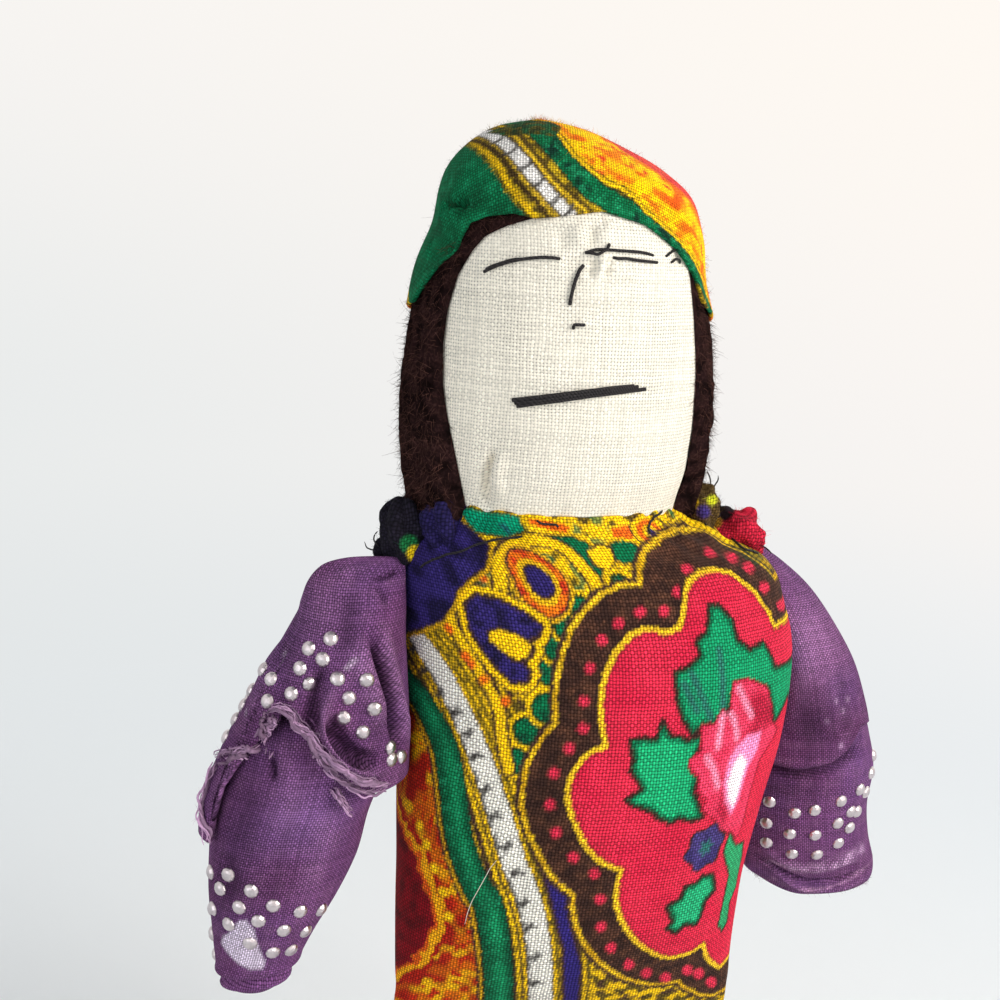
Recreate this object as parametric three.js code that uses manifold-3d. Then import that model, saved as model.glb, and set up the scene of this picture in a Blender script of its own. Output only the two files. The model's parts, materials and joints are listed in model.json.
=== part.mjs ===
// A stuffed rag doll with a cotton head, felt hair, a headscarf, a printed body sack, two arms and two legs.
// Lengths are in millimetres. The doll faces -Y, its left side is at +X, and it stands on Z = 0.

import Module from "manifold-3d";
import * as THREE from "three";
import { mergeVertices } from "three/addons/utils/BufferGeometryUtils.js";

const wasm = await Module();
wasm.setup();

// Cloth and fits
const clothWall = 0.4;
const seatGap = 0.3;
const hingeGap = 0.4;
const seamHalfThickness = 1.2;
const seamBand = 3;
const threadDiameter = 0.7;
const soleCut = 0.5;

// Body sack
const legLength = 72;
const bodyHeight = 98;
const shoulderHalfWidth = 36.2;
const bodyHalfDepth = 22.5;
const hipHalfWidth = 30.5;
const neckHalfWidth = 18.4;
const neckHalfDepth = 15.6;
const neckTuck = 11;

// Head, hair and headscarf
const headHeight = 60.5;
const headOffset = -7.5;
const headHalfWidth = 23.2;
const headHalfDepth = 20.6;
const crownDome = 31;
const hairThickness = 2.2;
const hairFrontThickness = 0.2;
const faceHalfWidth = 20.2;
const faceEdgeDepth = 3;
const scarfWall = 0.7;
const scarfFrontDrop = 11.5;
const scarfBackDrop = 36;

// Right arm, whose forearm narrows to a point
const rightUpperLength = 36;
const rightElbowHalfWidth = 14.6;
const rightForearmLength = 40;
const rightWristHalfWidth = 6.6;

// Left arm, whose forearm ends in a flat hem
const leftUpperLength = 40;
const leftElbowHalfWidth = 13.2;
const leftForearmLength = 31;
const leftHemHalfWidth = 10.4;
const leftHemHalfDepth = 3;
const leftHemOffset = 3;
const leftArmLeanBack = 12;
const leftArmLeanIn = 0;
const leftShoulderSetBack = 8;

// Both arms
const armTopHalfWidth = 5.4;
const armTopHalfDepth = 6.4;
const armTopDome = 3;
const elbowHalfDepth = 10;
const elbowMouthRise = 5;
const elbowFit = 1.3;
const shoulderDrop = 10.5;
const rightShoulderForward = 7;
const rightShoulderInset = 3.6;
const leftShoulderInset = 5;

// Legs
const legHalfWidth = 10.6;
const legTopHalfWidth = 12.4;
const legSpacing = 13.4;
const ankleHalfWidth = 9.4;
const footHalfDepth = 11.4;
const footForward = 1.6;
const footDome = 7;

// Gathers, frill and face threads
const rightGatherSize = new THREE.Vector3(7.6, 7.4, 6.4);
const leftGatherSize = new THREE.Vector3(5.6, 6, 5.4);
const rightGatherShare = -0.05;
const leftGatherShare = 0.525;
const gatherRise = 0.4;
const gatherFolds = 7;
const gatherFoldDepth = 0.12;
const frillHeight = 4;
const frillWall = 0.6;
const frillWave = 0.9;
const frillWaves = 9;
const frillSpan = 200;

// Facets
const roundSegments = 24;
const limbSegments = 16;
const spanSteps = 6;
const domeSteps = 3;

const hipHeight = legLength;
const neckline = hipHeight + bodyHeight;
const crown = neckline + headHeight;
const neckFoot = neckline - neckTuck;
const shoulderHeight = neckline - shoulderDrop;

const materials = {
  cotton: cloth(0xebe4d6, 0.95),
  felt: cloth(0x2d1c1e, 1),
  printed: cloth(0xb8343c, 0.9),
  scarf: cloth(0x1c6e46, 0.9),
  purple: cloth(0x643e69, 0.85),
  navy: cloth(0x281e55, 0.9),
  thread: cloth(0x17130f, 0.8),
  filling: cloth(0xe8e4da, 1),
};

function cloth(color, roughness) {
  return new THREE.MeshStandardMaterial({ color, roughness, metalness: 0 });
}

// Soft forms: a form is a list of rows, each a rounded section with a height, half-sizes and a centre.
// A row with no width is a pole that closes the form.

function softRows({ stations, domeBottom = 0, domeTop = 0, steps = spanSteps }) {
  const sizes = stations.map((s) => new THREE.Vector3(s.width, s.depth, s.z));
  const centres = stations.map((s) => new THREE.Vector3(s.x ?? 0, s.y ?? 0, s.z));
  const sizeCurve = new THREE.CatmullRomCurve3(sizes);
  const centreCurve = new THREE.CatmullRomCurve3(centres);
  const rows = [];
  for (let i = 0; i <= steps; i++) {
    const size = sizeCurve.getPoint(i / steps);
    const centre = centreCurve.getPoint(i / steps);
    rows.push({ width: size.x, depth: size.y, z: size.z, x: centre.x, y: centre.y });
  }
  if (domeBottom > 0) {
    rows.unshift(...domeRows(rows[0], -domeBottom).reverse());
  }
  if (domeTop > 0) {
    rows.push(...domeRows(rows[rows.length - 1], domeTop));
  }
  return rows;
}

function domeRows(edge, height) {
  const rows = [];
  for (let i = 1; i <= domeSteps; i++) {
    const angle = (i / domeSteps) * (Math.PI / 2);
    const share = i === domeSteps ? 0 : Math.cos(angle);
    const row = { ...edge, width: edge.width * share, depth: edge.depth * share };
    row.z = edge.z + height * Math.sin(angle);
    rows.push(row);
  }
  return rows;
}

function ringOf(row, segments) {
  const ring = [];
  for (let k = 0; k < segments; k++) {
    const angle = (k / segments) * 2 * Math.PI;
    const x = row.x + row.width * Math.cos(angle);
    const y = row.y + row.depth * Math.sin(angle);
    ring.push(new THREE.Vector3(x, y, row.z));
  }
  return ring;
}

// Rings of a form moved outward along its surface by an offset, or inward by a negative one.
function offsetRings(rows, offset, segments) {
  const rings = rows.map((row) => ringOf(row, segments));
  return rows.map((row, i) => {
    if (row.width === 0) {
      const outward = i === 0 ? -offset : offset;
      return [new THREE.Vector3(row.x, row.y, row.z + outward)];
    }
    const below = rings[Math.max(i - 1, 0)];
    const above = rings[Math.min(i + 1, rows.length - 1)];
    return rings[i].map((point, k) => {
      const next = rings[i][(k + 1) % segments];
      const last = rings[i][(k + segments - 1) % segments];
      const around = next.clone().sub(last);
      const along = above[k].clone().sub(below[k]);
      const normal = around.cross(along).normalize();
      return point.clone().addScaledVector(normal, offset);
    });
  });
}

// Joins rings into a surface. Rings at the ends are closed by a point, and single points are poles.
function closedSurface(rings) {
  const loops = rings.slice();
  if (loops[0].length > 1) {
    loops.unshift([middle(loops[0])]);
  }
  if (loops[loops.length - 1].length > 1) {
    loops.push([middle(loops[loops.length - 1])]);
  }
  const points = loops.flat();
  const faces = [];
  let start = 0;
  for (let i = 0; i + 1 < loops.length; i++) {
    joinLoops(faces, start, loops[i].length, start + loops[i].length, loops[i + 1].length);
    start += loops[i].length;
  }
  return geometryFrom(points, faces);
}

function joinLoops(faces, low, lowCount, high, highCount) {
  const count = Math.max(lowCount, highCount);
  for (let k = 0; k < count; k++) {
    const next = (k + 1) % count;
    if (lowCount === 1) {
      faces.push(low, high + next, high + k);
    } else if (highCount === 1) {
      faces.push(low + k, low + next, high);
    } else {
      faces.push(low + k, low + next, high + next);
      faces.push(low + k, high + next, high + k);
    }
  }
}

function middle(points) {
  const sum = new THREE.Vector3();
  points.forEach((point) => sum.add(point));
  return sum.divideScalar(points.length);
}

function geometryFrom(points, faces) {
  const geometry = new THREE.BufferGeometry().setFromPoints(points);
  geometry.setIndex(faces);
  return geometry;
}

function solidForm(rows, offset = 0, segments = roundSegments) {
  return closedSurface(offsetRings(rows, offset, segments));
}

// A cloth bag: the form's outside and its inside one wall further in, open at its upper or lower end.
function openTopBag(rows, segments, insideFrom = 0) {
  const outside = offsetRings(rows, 0, segments);
  const inside = offsetRings(rows, -clothWall, segments).slice(insideFrom);
  return closedSurface([...outside, ...inside.reverse()]);
}

function openBottomBag(rows, segments) {
  const outside = offsetRings(rows, 0, segments);
  const inside = offsetRings(rows, -clothWall, segments);
  return closedSurface([...inside.reverse(), ...outside]);
}

// The filling lies inside a bag's wall, with a clearance to it.
function fillingForm(rows, segments, from = 0, to = rows.length) {
  const rings = offsetRings(rows, -clothWall - seatGap, segments).slice(from, to);
  return closedSurface(rings);
}

// Solid joins and cuts

function toSolid(geometry) {
  const bare = geometry.clone();
  bare.deleteAttribute("normal");
  bare.deleteAttribute("uv");
  const merged = mergeVertices(bare);
  const vertProperties = new Float32Array(merged.attributes.position.array);
  const triVerts = new Uint32Array(merged.index.array);
  return new wasm.Manifold(new wasm.Mesh({ numProp: 3, vertProperties, triVerts }));
}

function toGeometry(solid) {
  const mesh = solid.getMesh();
  const geometry = new THREE.BufferGeometry();
  geometry.setAttribute("position", new THREE.BufferAttribute(mesh.vertProperties, 3));
  geometry.setIndex(new THREE.BufferAttribute(mesh.triVerts, 1));
  return geometry;
}

function cut(geometry, ...tools) {
  const solid = tools.reduce((rest, tool) => rest.subtract(toSolid(tool)), toSolid(geometry));
  return toGeometry(solid);
}

function join(geometry, ...others) {
  const solid = others.reduce((whole, other) => whole.add(toSolid(other)), toSolid(geometry));
  return toGeometry(solid);
}

// Moves a shape by a matrix, and turns its faces right side out again after a mirroring one.
function placed(geometry, matrix) {
  const copy = geometry.clone().applyMatrix4(matrix);
  if (matrix.determinant() < 0) {
    const index = copy.index.array;
    for (let i = 0; i < index.length; i += 3) {
      [index[i], index[i + 1]] = [index[i + 1], index[i]];
    }
  }
  return copy;
}

function mirrored(geometry) {
  return placed(geometry, new THREE.Matrix4().makeScale(-1, 1, 1));
}

function piece(name, geometry, material) {
  const mesh = new THREE.Mesh(geometry, material);
  mesh.name = name;
  return mesh;
}

// Body sack: a pillow that closes in a flat seam at the hips and in a collar at the neck

function bodyRows() {
  const seam = seamHalfThickness;
  const collarFit = clothWall + seatGap;
  const at = (share) => hipHeight + bodyHeight * share;
  const stations = [
    { z: hipHeight, width: hipHalfWidth, depth: seam },
    { z: hipHeight + seamBand, width: hipHalfWidth, depth: seam },
    { z: at(0.16), width: hipHalfWidth * 1.06, depth: bodyHalfDepth * 0.62 },
    { z: at(0.34), width: shoulderHalfWidth * 0.93, depth: bodyHalfDepth * 0.93 },
    { z: at(0.55), width: shoulderHalfWidth * 0.965, depth: bodyHalfDepth },
    { z: at(0.77), width: shoulderHalfWidth, depth: bodyHalfDepth * 0.98 },
    { z: at(0.88), width: shoulderHalfWidth * 0.955, depth: bodyHalfDepth * 0.9 },
    { z: at(0.96), width: neckHalfWidth + 6, depth: neckHalfDepth + 3, x: headOffset * 0.8 },
    { z: neckline, width: neckHalfWidth + collarFit, depth: neckHalfDepth + collarFit, x: headOffset },
  ];
  return softRows({ stations, steps: stations.length * 2 - 2 });
}

function hipSeamRoll() {
  const radius = seamHalfThickness;
  const roll = new THREE.CylinderGeometry(radius, radius, 2 * hipHalfWidth, limbSegments);
  return roll.rotateZ(Math.PI / 2).translate(0, 0, hipHeight);
}

function buildBody() {
  const rows = bodyRows();
  const hollowFrom = 3;
  const bag = openTopBag(rows, roundSegments, hollowFrom);
  const skin = join(bag, hipSeamRoll());
  const topRow = rows.findIndex((row) => row.z > neckFoot - seatGap);
  const filling = fillingForm(rows, roundSegments, hollowFrom + 1, topRow);
  return [piece("body_skin", skin, materials.printed), piece("torso_stuffing", filling, materials.filling)];
}

// Head: a cotton bag whose neck is tucked into the collar

function headRows() {
  const at = (share) => neckline + headHeight * share;
  const stations = [
    { z: neckFoot, width: neckHalfWidth - 1, depth: neckHalfDepth - 1 },
    { z: neckline, width: neckHalfWidth, depth: neckHalfDepth },
    { z: at(0.13), width: headHalfWidth * 0.9, depth: headHalfDepth * 0.9 },
    { z: at(0.3), width: headHalfWidth * 0.985, depth: headHalfDepth * 0.98 },
    { z: crown - crownDome, width: headHalfWidth, depth: headHalfDepth },
  ];
  const onAxis = stations.map((station) => ({ ...station, x: headOffset }));
  return softRows({ stations: onAxis, steps: 8, domeTop: crownDome });
}

function buildHead() {
  const rows = headRows();
  const bag = openBottomBag(rows, roundSegments);
  const filling = fillingForm(rows, roundSegments);
  return [piece("head_skin", bag, materials.cotton), piece("head_stuffing", filling, materials.filling)];
}

// Hair: a felt wrap round the sides and back of the head, cut open in front of the face

function hairRows() {
  const at = (share) => neckline + headHeight * share;
  const setBack = (hairThickness - hairFrontThickness) / 2;
  const outer = seatGap + (hairThickness + hairFrontThickness) / 2;
  const width = headHalfWidth + seatGap + hairThickness;
  const depth = headHalfDepth + outer;
  const stations = [
    { z: neckline - 2, width: width * 0.95, depth: depth * 0.93, y: setBack },
    { z: at(0.13), width: width * 0.98, depth: depth * 0.98, y: setBack },
    { z: at(0.3), width, depth, y: setBack },
    { z: crown - crownDome, width, depth, y: setBack },
  ];
  const onAxis = stations.map((station) => ({ ...station, x: headOffset }));
  return softRows({ stations: onAxis, steps: 6, domeTop: crownDome + outer });
}

function faceWindow() {
  const low = neckFoot - neckTuck;
  const high = crown + headHalfWidth;
  const jaw = neckline + headHeight * 0.2;
  const cheek = neckline + headHeight * 0.45;
  const outline = new THREE.Shape();
  outline.moveTo(-neckHalfWidth, low);
  outline.lineTo(neckHalfWidth, low);
  outline.lineTo(neckHalfWidth, neckline);
  outline.quadraticCurveTo(faceHalfWidth, jaw, faceHalfWidth, cheek);
  outline.lineTo(faceHalfWidth, high);
  outline.lineTo(-faceHalfWidth, high);
  outline.lineTo(-faceHalfWidth, cheek);
  outline.quadraticCurveTo(-faceHalfWidth, jaw, -neckHalfWidth, neckline);
  outline.closePath();
  const depth = 2 * headHalfDepth;
  const opening = new THREE.ExtrudeGeometry(outline, { depth, bevelEnabled: false, curveSegments: 4 });
  return opening.rotateX(Math.PI / 2).translate(headOffset, -faceEdgeDepth, 0);
}

function buildHair() {
  const outside = solidForm(hairRows());
  const headSpace = solidForm(headRows(), seatGap);
  const bodySpace = solidForm(bodyRows(), seatGap);
  const hair = cut(outside, headSpace, faceWindow(), bodySpace);
  return [piece("hair", hair, materials.felt)];
}

// Headscarf: a close cap over the hair whose hem slopes down from the forehead to the nape

function hemCutter() {
  const front = new THREE.Vector2(-headHalfDepth, crown - scarfFrontDrop);
  const back = new THREE.Vector2(headHalfDepth + hairThickness, crown - scarfBackDrop);
  const size = 4 * headHeight;
  const slope = Math.atan2(back.y - front.y, back.x - front.x);
  const block = new THREE.BoxGeometry(size, size, size).translate(0, 0, -size / 2);
  return block.rotateX(slope).translate(0, (front.x + back.x) / 2, (front.y + back.y) / 2);
}

function buildHeadscarf() {
  const rows = hairRows();
  const outside = solidForm(rows, seatGap + scarfWall);
  const inside = solidForm(rows, seatGap);
  return [piece("headscarf", cut(outside, inside, hemCutter()), materials.scarf)];
}

// Shoulder gathers: bunched sleeve cloth on top of each shoulder

function gatherLump(size, folds) {
  const rows = [];
  const rowCount = 8;
  for (let i = 0; i <= rowCount; i++) {
    const tilt = (i / rowCount) * Math.PI;
    const ring = [];
    for (let k = 0; k < limbSegments; k++) {
      const turn = (k / limbSegments) * 2 * Math.PI;
      const fold = 1 + gatherFoldDepth * Math.cos(folds * turn + 2 * tilt) * Math.sin(tilt);
      const x = size.x * fold * Math.sin(tilt) * Math.cos(turn);
      const y = size.y * fold * Math.sin(tilt) * Math.sin(turn);
      ring.push(new THREE.Vector3(x, y, -size.z * Math.cos(tilt)));
    }
    rows.push(i === 0 || i === rowCount ? [middle(ring)] : ring);
  }
  return closedSurface(rows);
}

// A gather lies between the collar and the end of the shoulder, a share of the way out on its side.
function buildGather(name, size, side, share) {
  const collar = headOffset + side * neckHalfWidth;
  const x = THREE.MathUtils.lerp(collar, side * shoulderHalfWidth, share);
  const lump = gatherLump(size, gatherFolds);
  lump.translate(x, -seatGap, neckline - size.z * (1 - gatherRise));
  const bodySpace = solidForm(bodyRows(), seatGap);
  const hairSpace = solidForm(hairRows(), seatGap);
  return piece(name, cut(lump, bodySpace, hairSpace), materials.navy);
}

// Limbs are modelled hanging from their joint at the origin, for the doll's right side.

function upperArmRows({ length, elbowHalfWidth }) {
  const mouth = -length + elbowMouthRise;
  const narrow = armTopHalfWidth;
  const wide = elbowHalfWidth;
  const depth = elbowHalfDepth + hingeGap + clothWall;
  const top = -armTopDome;
  const at = (share) => top + (mouth - top) * share;
  const width = (share) => narrow + (wide - narrow) * share;
  const stations = [
    { z: mouth, width: wide, depth, x: -wide },
    { z: at(0.7), width: width(0.78), depth: depth * 0.98, x: -width(0.78) },
    { z: at(0.35), width: width(0.42), depth: depth * 0.85, x: -width(0.42) },
    { z: top, width: narrow, depth: armTopHalfDepth, x: -narrow },
  ];
  return softRows({ stations, domeTop: armTopDome });
}

function elbowBall(halfWidth, offset) {
  const ball = new THREE.SphereGeometry(1, limbSegments, 12).rotateZ(Math.PI / 2);
  return ball.scale(halfWidth + offset, elbowHalfDepth + offset, elbowHalfDepth + offset);
}

// A sleeve pressed against the body: the body's space, seen from the shoulder, is cut out of each layer.
function buildUpperArm(arm, place) {
  const rows = upperArmRows(arm);
  const fromShoulder = place.clone().invert();
  const bodyFrom = (offset) => placed(solidForm(bodyRows(), offset), fromShoulder);
  const frill = arm.frilled ? cut(elbowFrill(arm), bodyFrom(seatGap)) : null;
  const layer = (offset) => cut(solidForm(rows, -offset, limbSegments), bodyFrom(seatGap + offset));
  const mouth = new THREE.BoxGeometry(arm.length * 3, arm.length * 3, clothWall * 4);
  mouth.translate(0, 0, elbowMouthRise - arm.length);
  const hollow = join(layer(clothWall), mouth);
  const ballSpace = elbowBall(arm.elbowHalfWidth, hingeGap).translate(-arm.elbowHalfWidth, 0, -arm.length);
  return {
    skin: cut(layer(0), hollow),
    filling: cut(layer(clothWall + seatGap), ballSpace, mouth),
    frill,
  };
}

// A forearm's origin is its elbow, and its top is a ball that turns inside the sleeve's mouth.
function buildForearm(stations, domeBottom) {
  const rows = softRows({ stations, domeBottom, domeTop: elbowHalfDepth });
  const skinRows = rows.slice(0, -2);
  return {
    skin: openTopBag(skinRows, limbSegments),
    filling: fillingForm(rows, limbSegments),
  };
}

function rightForearm() {
  const wide = rightElbowHalfWidth - elbowFit;
  const tip = rightWristHalfWidth;
  const dome = tip * 0.8;
  const low = dome - rightForearmLength;
  const outward = (width) => -(wide - width) * 0.8;
  const row = (share, width, depth) => ({ z: low * share, width, depth, x: outward(width) });
  const stations = [
    row(1, tip, elbowHalfDepth * 0.62),
    row(0.66, tip + (wide - tip) * 0.42, elbowHalfDepth * 0.84),
    row(0.3, tip + (wide - tip) * 0.82, elbowHalfDepth * 0.97),
    row(0, wide, elbowHalfDepth),
  ];
  return buildForearm(stations, dome);
}

function leftForearm() {
  const wide = leftElbowHalfWidth - elbowFit;
  const hem = leftHemHalfWidth;
  const dome = leftHemHalfDepth;
  const low = dome - leftForearmLength;
  const stations = [
    { z: low, width: hem, depth: leftHemHalfDepth, x: -leftHemOffset },
    { z: low * 0.6, width: (wide + hem) / 2, depth: elbowHalfDepth * 0.72, x: -leftHemOffset / 2 },
    { z: low * 0.25, width: wide, depth: elbowHalfDepth * 0.97 },
    { z: 0, width: wide, depth: elbowHalfDepth },
  ];
  return buildForearm(stations, dome);
}

// Frill: the raw gathered edge that stands out round the front of the right sleeve's mouth
function elbowFrill(arm) {
  const mouth = -arm.length + elbowMouthRise;
  const width = arm.elbowHalfWidth + seatGap;
  const depth = elbowHalfDepth + hingeGap + clothWall + seatGap;
  const steps = frillWaves * 4;
  const loops = [];
  for (let i = 0; i <= steps; i++) {
    const turn = THREE.MathUtils.degToRad(-90 - frillSpan / 2 + (i / steps) * frillSpan);
    const wave = frillWave * (1 - Math.cos((i / steps) * frillWaves * 2 * Math.PI)) / 2;
    const at = (out, z) => {
      const x = (width + out) * Math.cos(turn) - arm.elbowHalfWidth;
      return new THREE.Vector3(x, (depth + out) * Math.sin(turn), z);
    };
    const low = mouth;
    const high = mouth + frillHeight;
    loops.push([at(wave, low), at(0, high), at(frillWall, high), at(wave + frillWall, low)]);
  }
  return closedSurface(loops);
}

// The left arm is modelled as a right one in a mirrored place and turned over at the end.
function armPlace({ side, shoulder, lean }) {
  const turn = new THREE.Euler(lean.back, -side * lean.in, 0);
  const place = new THREE.Matrix4().makeRotationFromEuler(turn).setPosition(shoulder);
  if (side > 0) {
    const flip = new THREE.Matrix4().makeScale(-1, 1, 1);
    return place.multiply(flip);
  }
  return place;
}

function armGroup(arm, parts) {
  const forSide = (geometry) => (arm.side < 0 ? geometry : mirrored(geometry));
  const upper = new THREE.Group();
  upper.position.copy(arm.shoulder);
  upper.rotation.set(arm.lean.back, -arm.side * arm.lean.in, 0);
  parts.upper.forEach(([name, geometry, material]) => upper.add(piece(name, forSide(geometry), material)));
  const fore = new THREE.Group();
  fore.position.set(arm.side * arm.elbowHalfWidth, 0, -arm.length);
  parts.fore.forEach(([name, geometry, material]) => fore.add(piece(name, forSide(geometry), material)));
  upper.add(fore);
  return upper;
}

const rightArm = {
  side: -1,
  frilled: true,
  length: rightUpperLength,
  elbowHalfWidth: rightElbowHalfWidth,
  shoulder: new THREE.Vector3(-shoulderHalfWidth + rightShoulderInset, -rightShoulderForward, shoulderHeight),
  lean: { back: 0, in: 0 },
};

const leftArm = {
  side: 1,
  frilled: false,
  length: leftUpperLength,
  elbowHalfWidth: leftElbowHalfWidth,
  shoulder: new THREE.Vector3(shoulderHalfWidth - leftShoulderInset, leftShoulderSetBack, shoulderHeight),
  lean: { back: THREE.MathUtils.degToRad(leftArmLeanBack), in: THREE.MathUtils.degToRad(leftArmLeanIn) },
};

function buildRightArm() {
  const upper = buildUpperArm(rightArm, armPlace(rightArm));
  const fore = rightForearm();
  return armGroup(rightArm, {
    upper: [
      ["right_upper_sleeve", upper.skin, materials.purple],
      ["right_upper_stuffing", upper.filling, materials.filling],
      ["right_elbow_frill", upper.frill, materials.purple],
    ],
    fore: [
      ["right_forearm_sleeve", fore.skin, materials.purple],
      ["right_forearm_stuffing", fore.filling, materials.filling],
    ],
  });
}

function buildLeftArm() {
  const upper = buildUpperArm(leftArm, armPlace(leftArm));
  const fore = leftForearm();
  return armGroup(leftArm, {
    upper: [
      ["left_upper_sleeve", upper.skin, materials.purple],
      ["left_upper_stuffing", upper.filling, materials.filling],
    ],
    fore: [
      ["left_forearm_sleeve", fore.skin, materials.purple],
      ["left_forearm_stuffing", fore.filling, materials.filling],
    ],
  });
}

// Legs: each hangs from the hip seam by a flat top and stands on a small flat sole

function legRows() {
  const ankle = -legLength + footDome - soleCut;
  const stations = [
    { z: ankle, width: ankleHalfWidth, depth: footHalfDepth, y: -footForward },
    { z: ankle + 8, width: ankleHalfWidth, depth: ankleHalfWidth + 0.6, y: -footForward / 2 },
    { z: -legLength * 0.5, width: legHalfWidth * 0.97, depth: legHalfWidth * 0.95 },
    { z: -legLength * 0.24, width: legHalfWidth, depth: legHalfWidth },
    { z: -seamBand, width: legTopHalfWidth, depth: seamHalfThickness },
    { z: seamBand, width: legTopHalfWidth, depth: seamHalfThickness },
  ];
  return softRows({ stations, steps: stations.length * 2 - 2, domeBottom: footDome });
}

function floorBelow(height) {
  const size = 2 * legLength;
  return new THREE.BoxGeometry(size, size, size).translate(0, 0, height - legLength - size / 2);
}

function hipRollSpace() {
  const radius = seamHalfThickness + seatGap;
  const roll = new THREE.CylinderGeometry(radius, radius, legLength, limbSegments).rotateZ(Math.PI / 2);
  const above = new THREE.BoxGeometry(legLength, legLength, legLength).translate(0, 0, legLength / 2);
  return join(roll, above);
}

function buildLeg(side, name) {
  const rows = legRows();
  const hollow = cut(solidForm(rows, -clothWall, limbSegments), floorBelow(clothWall));
  const skin = cut(solidForm(rows, 0, limbSegments), floorBelow(0), hollow, hipRollSpace());
  const filling = cut(fillingForm(rows, limbSegments, 0, rows.length - 4), floorBelow(clothWall + seatGap));
  const leg = new THREE.Group();
  leg.position.set(side * legSpacing, 0, hipHeight);
  leg.add(piece(`${name}_leg_skin`, skin, materials.purple));
  leg.add(piece(`${name}_leg_stuffing`, filling, materials.filling));
  return leg;
}

// Face threads: stitched lines that lie on the front of the head

function faceDepth(rows, x, z) {
  const above = rows.findIndex((row) => row.z >= z);
  const low = rows[above - 1];
  const high = rows[above];
  const share = (z - low.z) / (high.z - low.z);
  const width = low.width + (high.width - low.width) * share;
  const depth = low.depth + (high.depth - low.depth) * share;
  return -depth * Math.sqrt(1 - (x / width) ** 2);
}

function faceThread(name, line) {
  const rows = headRows();
  const lift = seatGap + threadDiameter / 2;
  const points = line.map(([x, z]) => new THREE.Vector3(headOffset + x, faceDepth(rows, x, z) - lift, z));
  const path = new THREE.CatmullRomCurve3(points);
  const section = new THREE.Shape().absarc(0, 0, threadDiameter / 2, 0, 2 * Math.PI);
  const options = { extrudePath: path, steps: 10, curveSegments: 3, bevelEnabled: false };
  return piece(name, new THREE.ExtrudeGeometry(section, options), materials.thread);
}

function buildFace() {
  const eye = neckline + headHeight * 0.65;
  const mouth = neckline + headHeight * 0.32;
  const line = (z, ...points) => points.map(([x, rise]) => [x, z + rise]);
  return [
    faceThread("right_eye_stitch", line(eye, [-15.4, -1.5], [-12, -0.2], [-8.4, 0.7], [-5, 0.8])),
    faceThread("left_eye_stitch", line(eye, [-0.6, 2.4], [3.4, 2.4], [7.6, 2], [11.4, 1.6])),
    faceThread("nose_stitch", line(eye, [-1.4, 0.6], [-1.9, -1.2], [-2.7, -3.2], [-3.4, -5.4])),
    faceThread("mouth_stitch", line(mouth, [-11, -0.8], [-4, 0.1], [3, 1], [9.2, 1.9])),
  ];
}

const doll = new THREE.Group();
doll.name = "cloth_doll";
doll.add(...buildBody());
doll.add(...buildHead());
doll.add(...buildHair());
doll.add(...buildHeadscarf());
doll.add(...buildFace());
doll.add(buildGather("right_shoulder_gather", rightGatherSize, -1, rightGatherShare));
doll.add(buildGather("left_shoulder_gather", leftGatherSize, 1, leftGatherShare));
doll.add(buildRightArm());
doll.add(buildLeftArm());
doll.add(buildLeg(-1, "right"));
doll.add(buildLeg(1, "left"));

// The origin is the middle of the doll's outline, on the surface that its soles stand on.
const outline = new THREE.Box3().setFromObject(doll, true);
doll.position.x = -(outline.min.x + outline.max.x) / 2;
doll.position.y = -(outline.min.y + outline.max.y) / 2;

export default doll;
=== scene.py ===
"""A stuffed rag doll: cotton face, felt hair, printed cap and body sack, purple arms with studs, and legs.

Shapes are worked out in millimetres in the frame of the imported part, and become metres when a mesh is made.
Features that the photograph shows are placed by its pixels: the camera's ray through a pixel meets the piece.
"""

import json
import math

import bpy
import numpy as np
from mathutils import Matrix, Vector

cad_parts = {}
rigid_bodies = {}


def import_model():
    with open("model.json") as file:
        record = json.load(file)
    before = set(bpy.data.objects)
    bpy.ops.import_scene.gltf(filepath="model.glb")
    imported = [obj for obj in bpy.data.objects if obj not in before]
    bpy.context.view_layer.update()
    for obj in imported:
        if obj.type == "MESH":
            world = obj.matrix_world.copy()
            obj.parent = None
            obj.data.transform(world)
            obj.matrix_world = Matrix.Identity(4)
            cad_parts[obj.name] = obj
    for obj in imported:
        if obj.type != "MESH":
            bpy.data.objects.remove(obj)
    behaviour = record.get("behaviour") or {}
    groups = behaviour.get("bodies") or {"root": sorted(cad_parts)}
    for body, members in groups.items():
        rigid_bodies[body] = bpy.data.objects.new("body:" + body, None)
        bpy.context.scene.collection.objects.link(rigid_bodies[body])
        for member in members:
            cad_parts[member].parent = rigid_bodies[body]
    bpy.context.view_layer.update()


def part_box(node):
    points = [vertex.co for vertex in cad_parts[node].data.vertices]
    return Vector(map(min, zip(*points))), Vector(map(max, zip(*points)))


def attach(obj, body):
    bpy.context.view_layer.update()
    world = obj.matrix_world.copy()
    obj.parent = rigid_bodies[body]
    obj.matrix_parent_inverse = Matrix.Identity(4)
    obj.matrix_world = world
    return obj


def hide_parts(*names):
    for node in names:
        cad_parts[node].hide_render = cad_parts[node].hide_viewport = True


MM = 0.001
TURN = 2 * math.pi
FRONT = -math.pi / 2

for leftover in list(bpy.data.objects):
    bpy.data.objects.remove(leftover)
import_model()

# Camera
PICTURE = 1000
FOCAL = 1500
SENSOR = 36
CAMERA_AZIMUTH = math.radians(-9)
CAMERA_ELEVATION = math.radians(12)
CAMERA_ROLL = math.radians(3.3)
CAMERA_TARGET = np.array([-13.23, -2.35, 169.4])
CAMERA_DISTANCE = 250
CLIP_NEAR = 0.01
CLIP_FAR = 20

# Sizes in millimetres
STUD_DIAMETER = 2.5
WEAVE = 0.54
FINE_WEAVE = 0.4
WEAVE_RELIEF = 0.16
PRINT_BLUR = 0.22
PRINT_WANDER = 0.09

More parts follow.
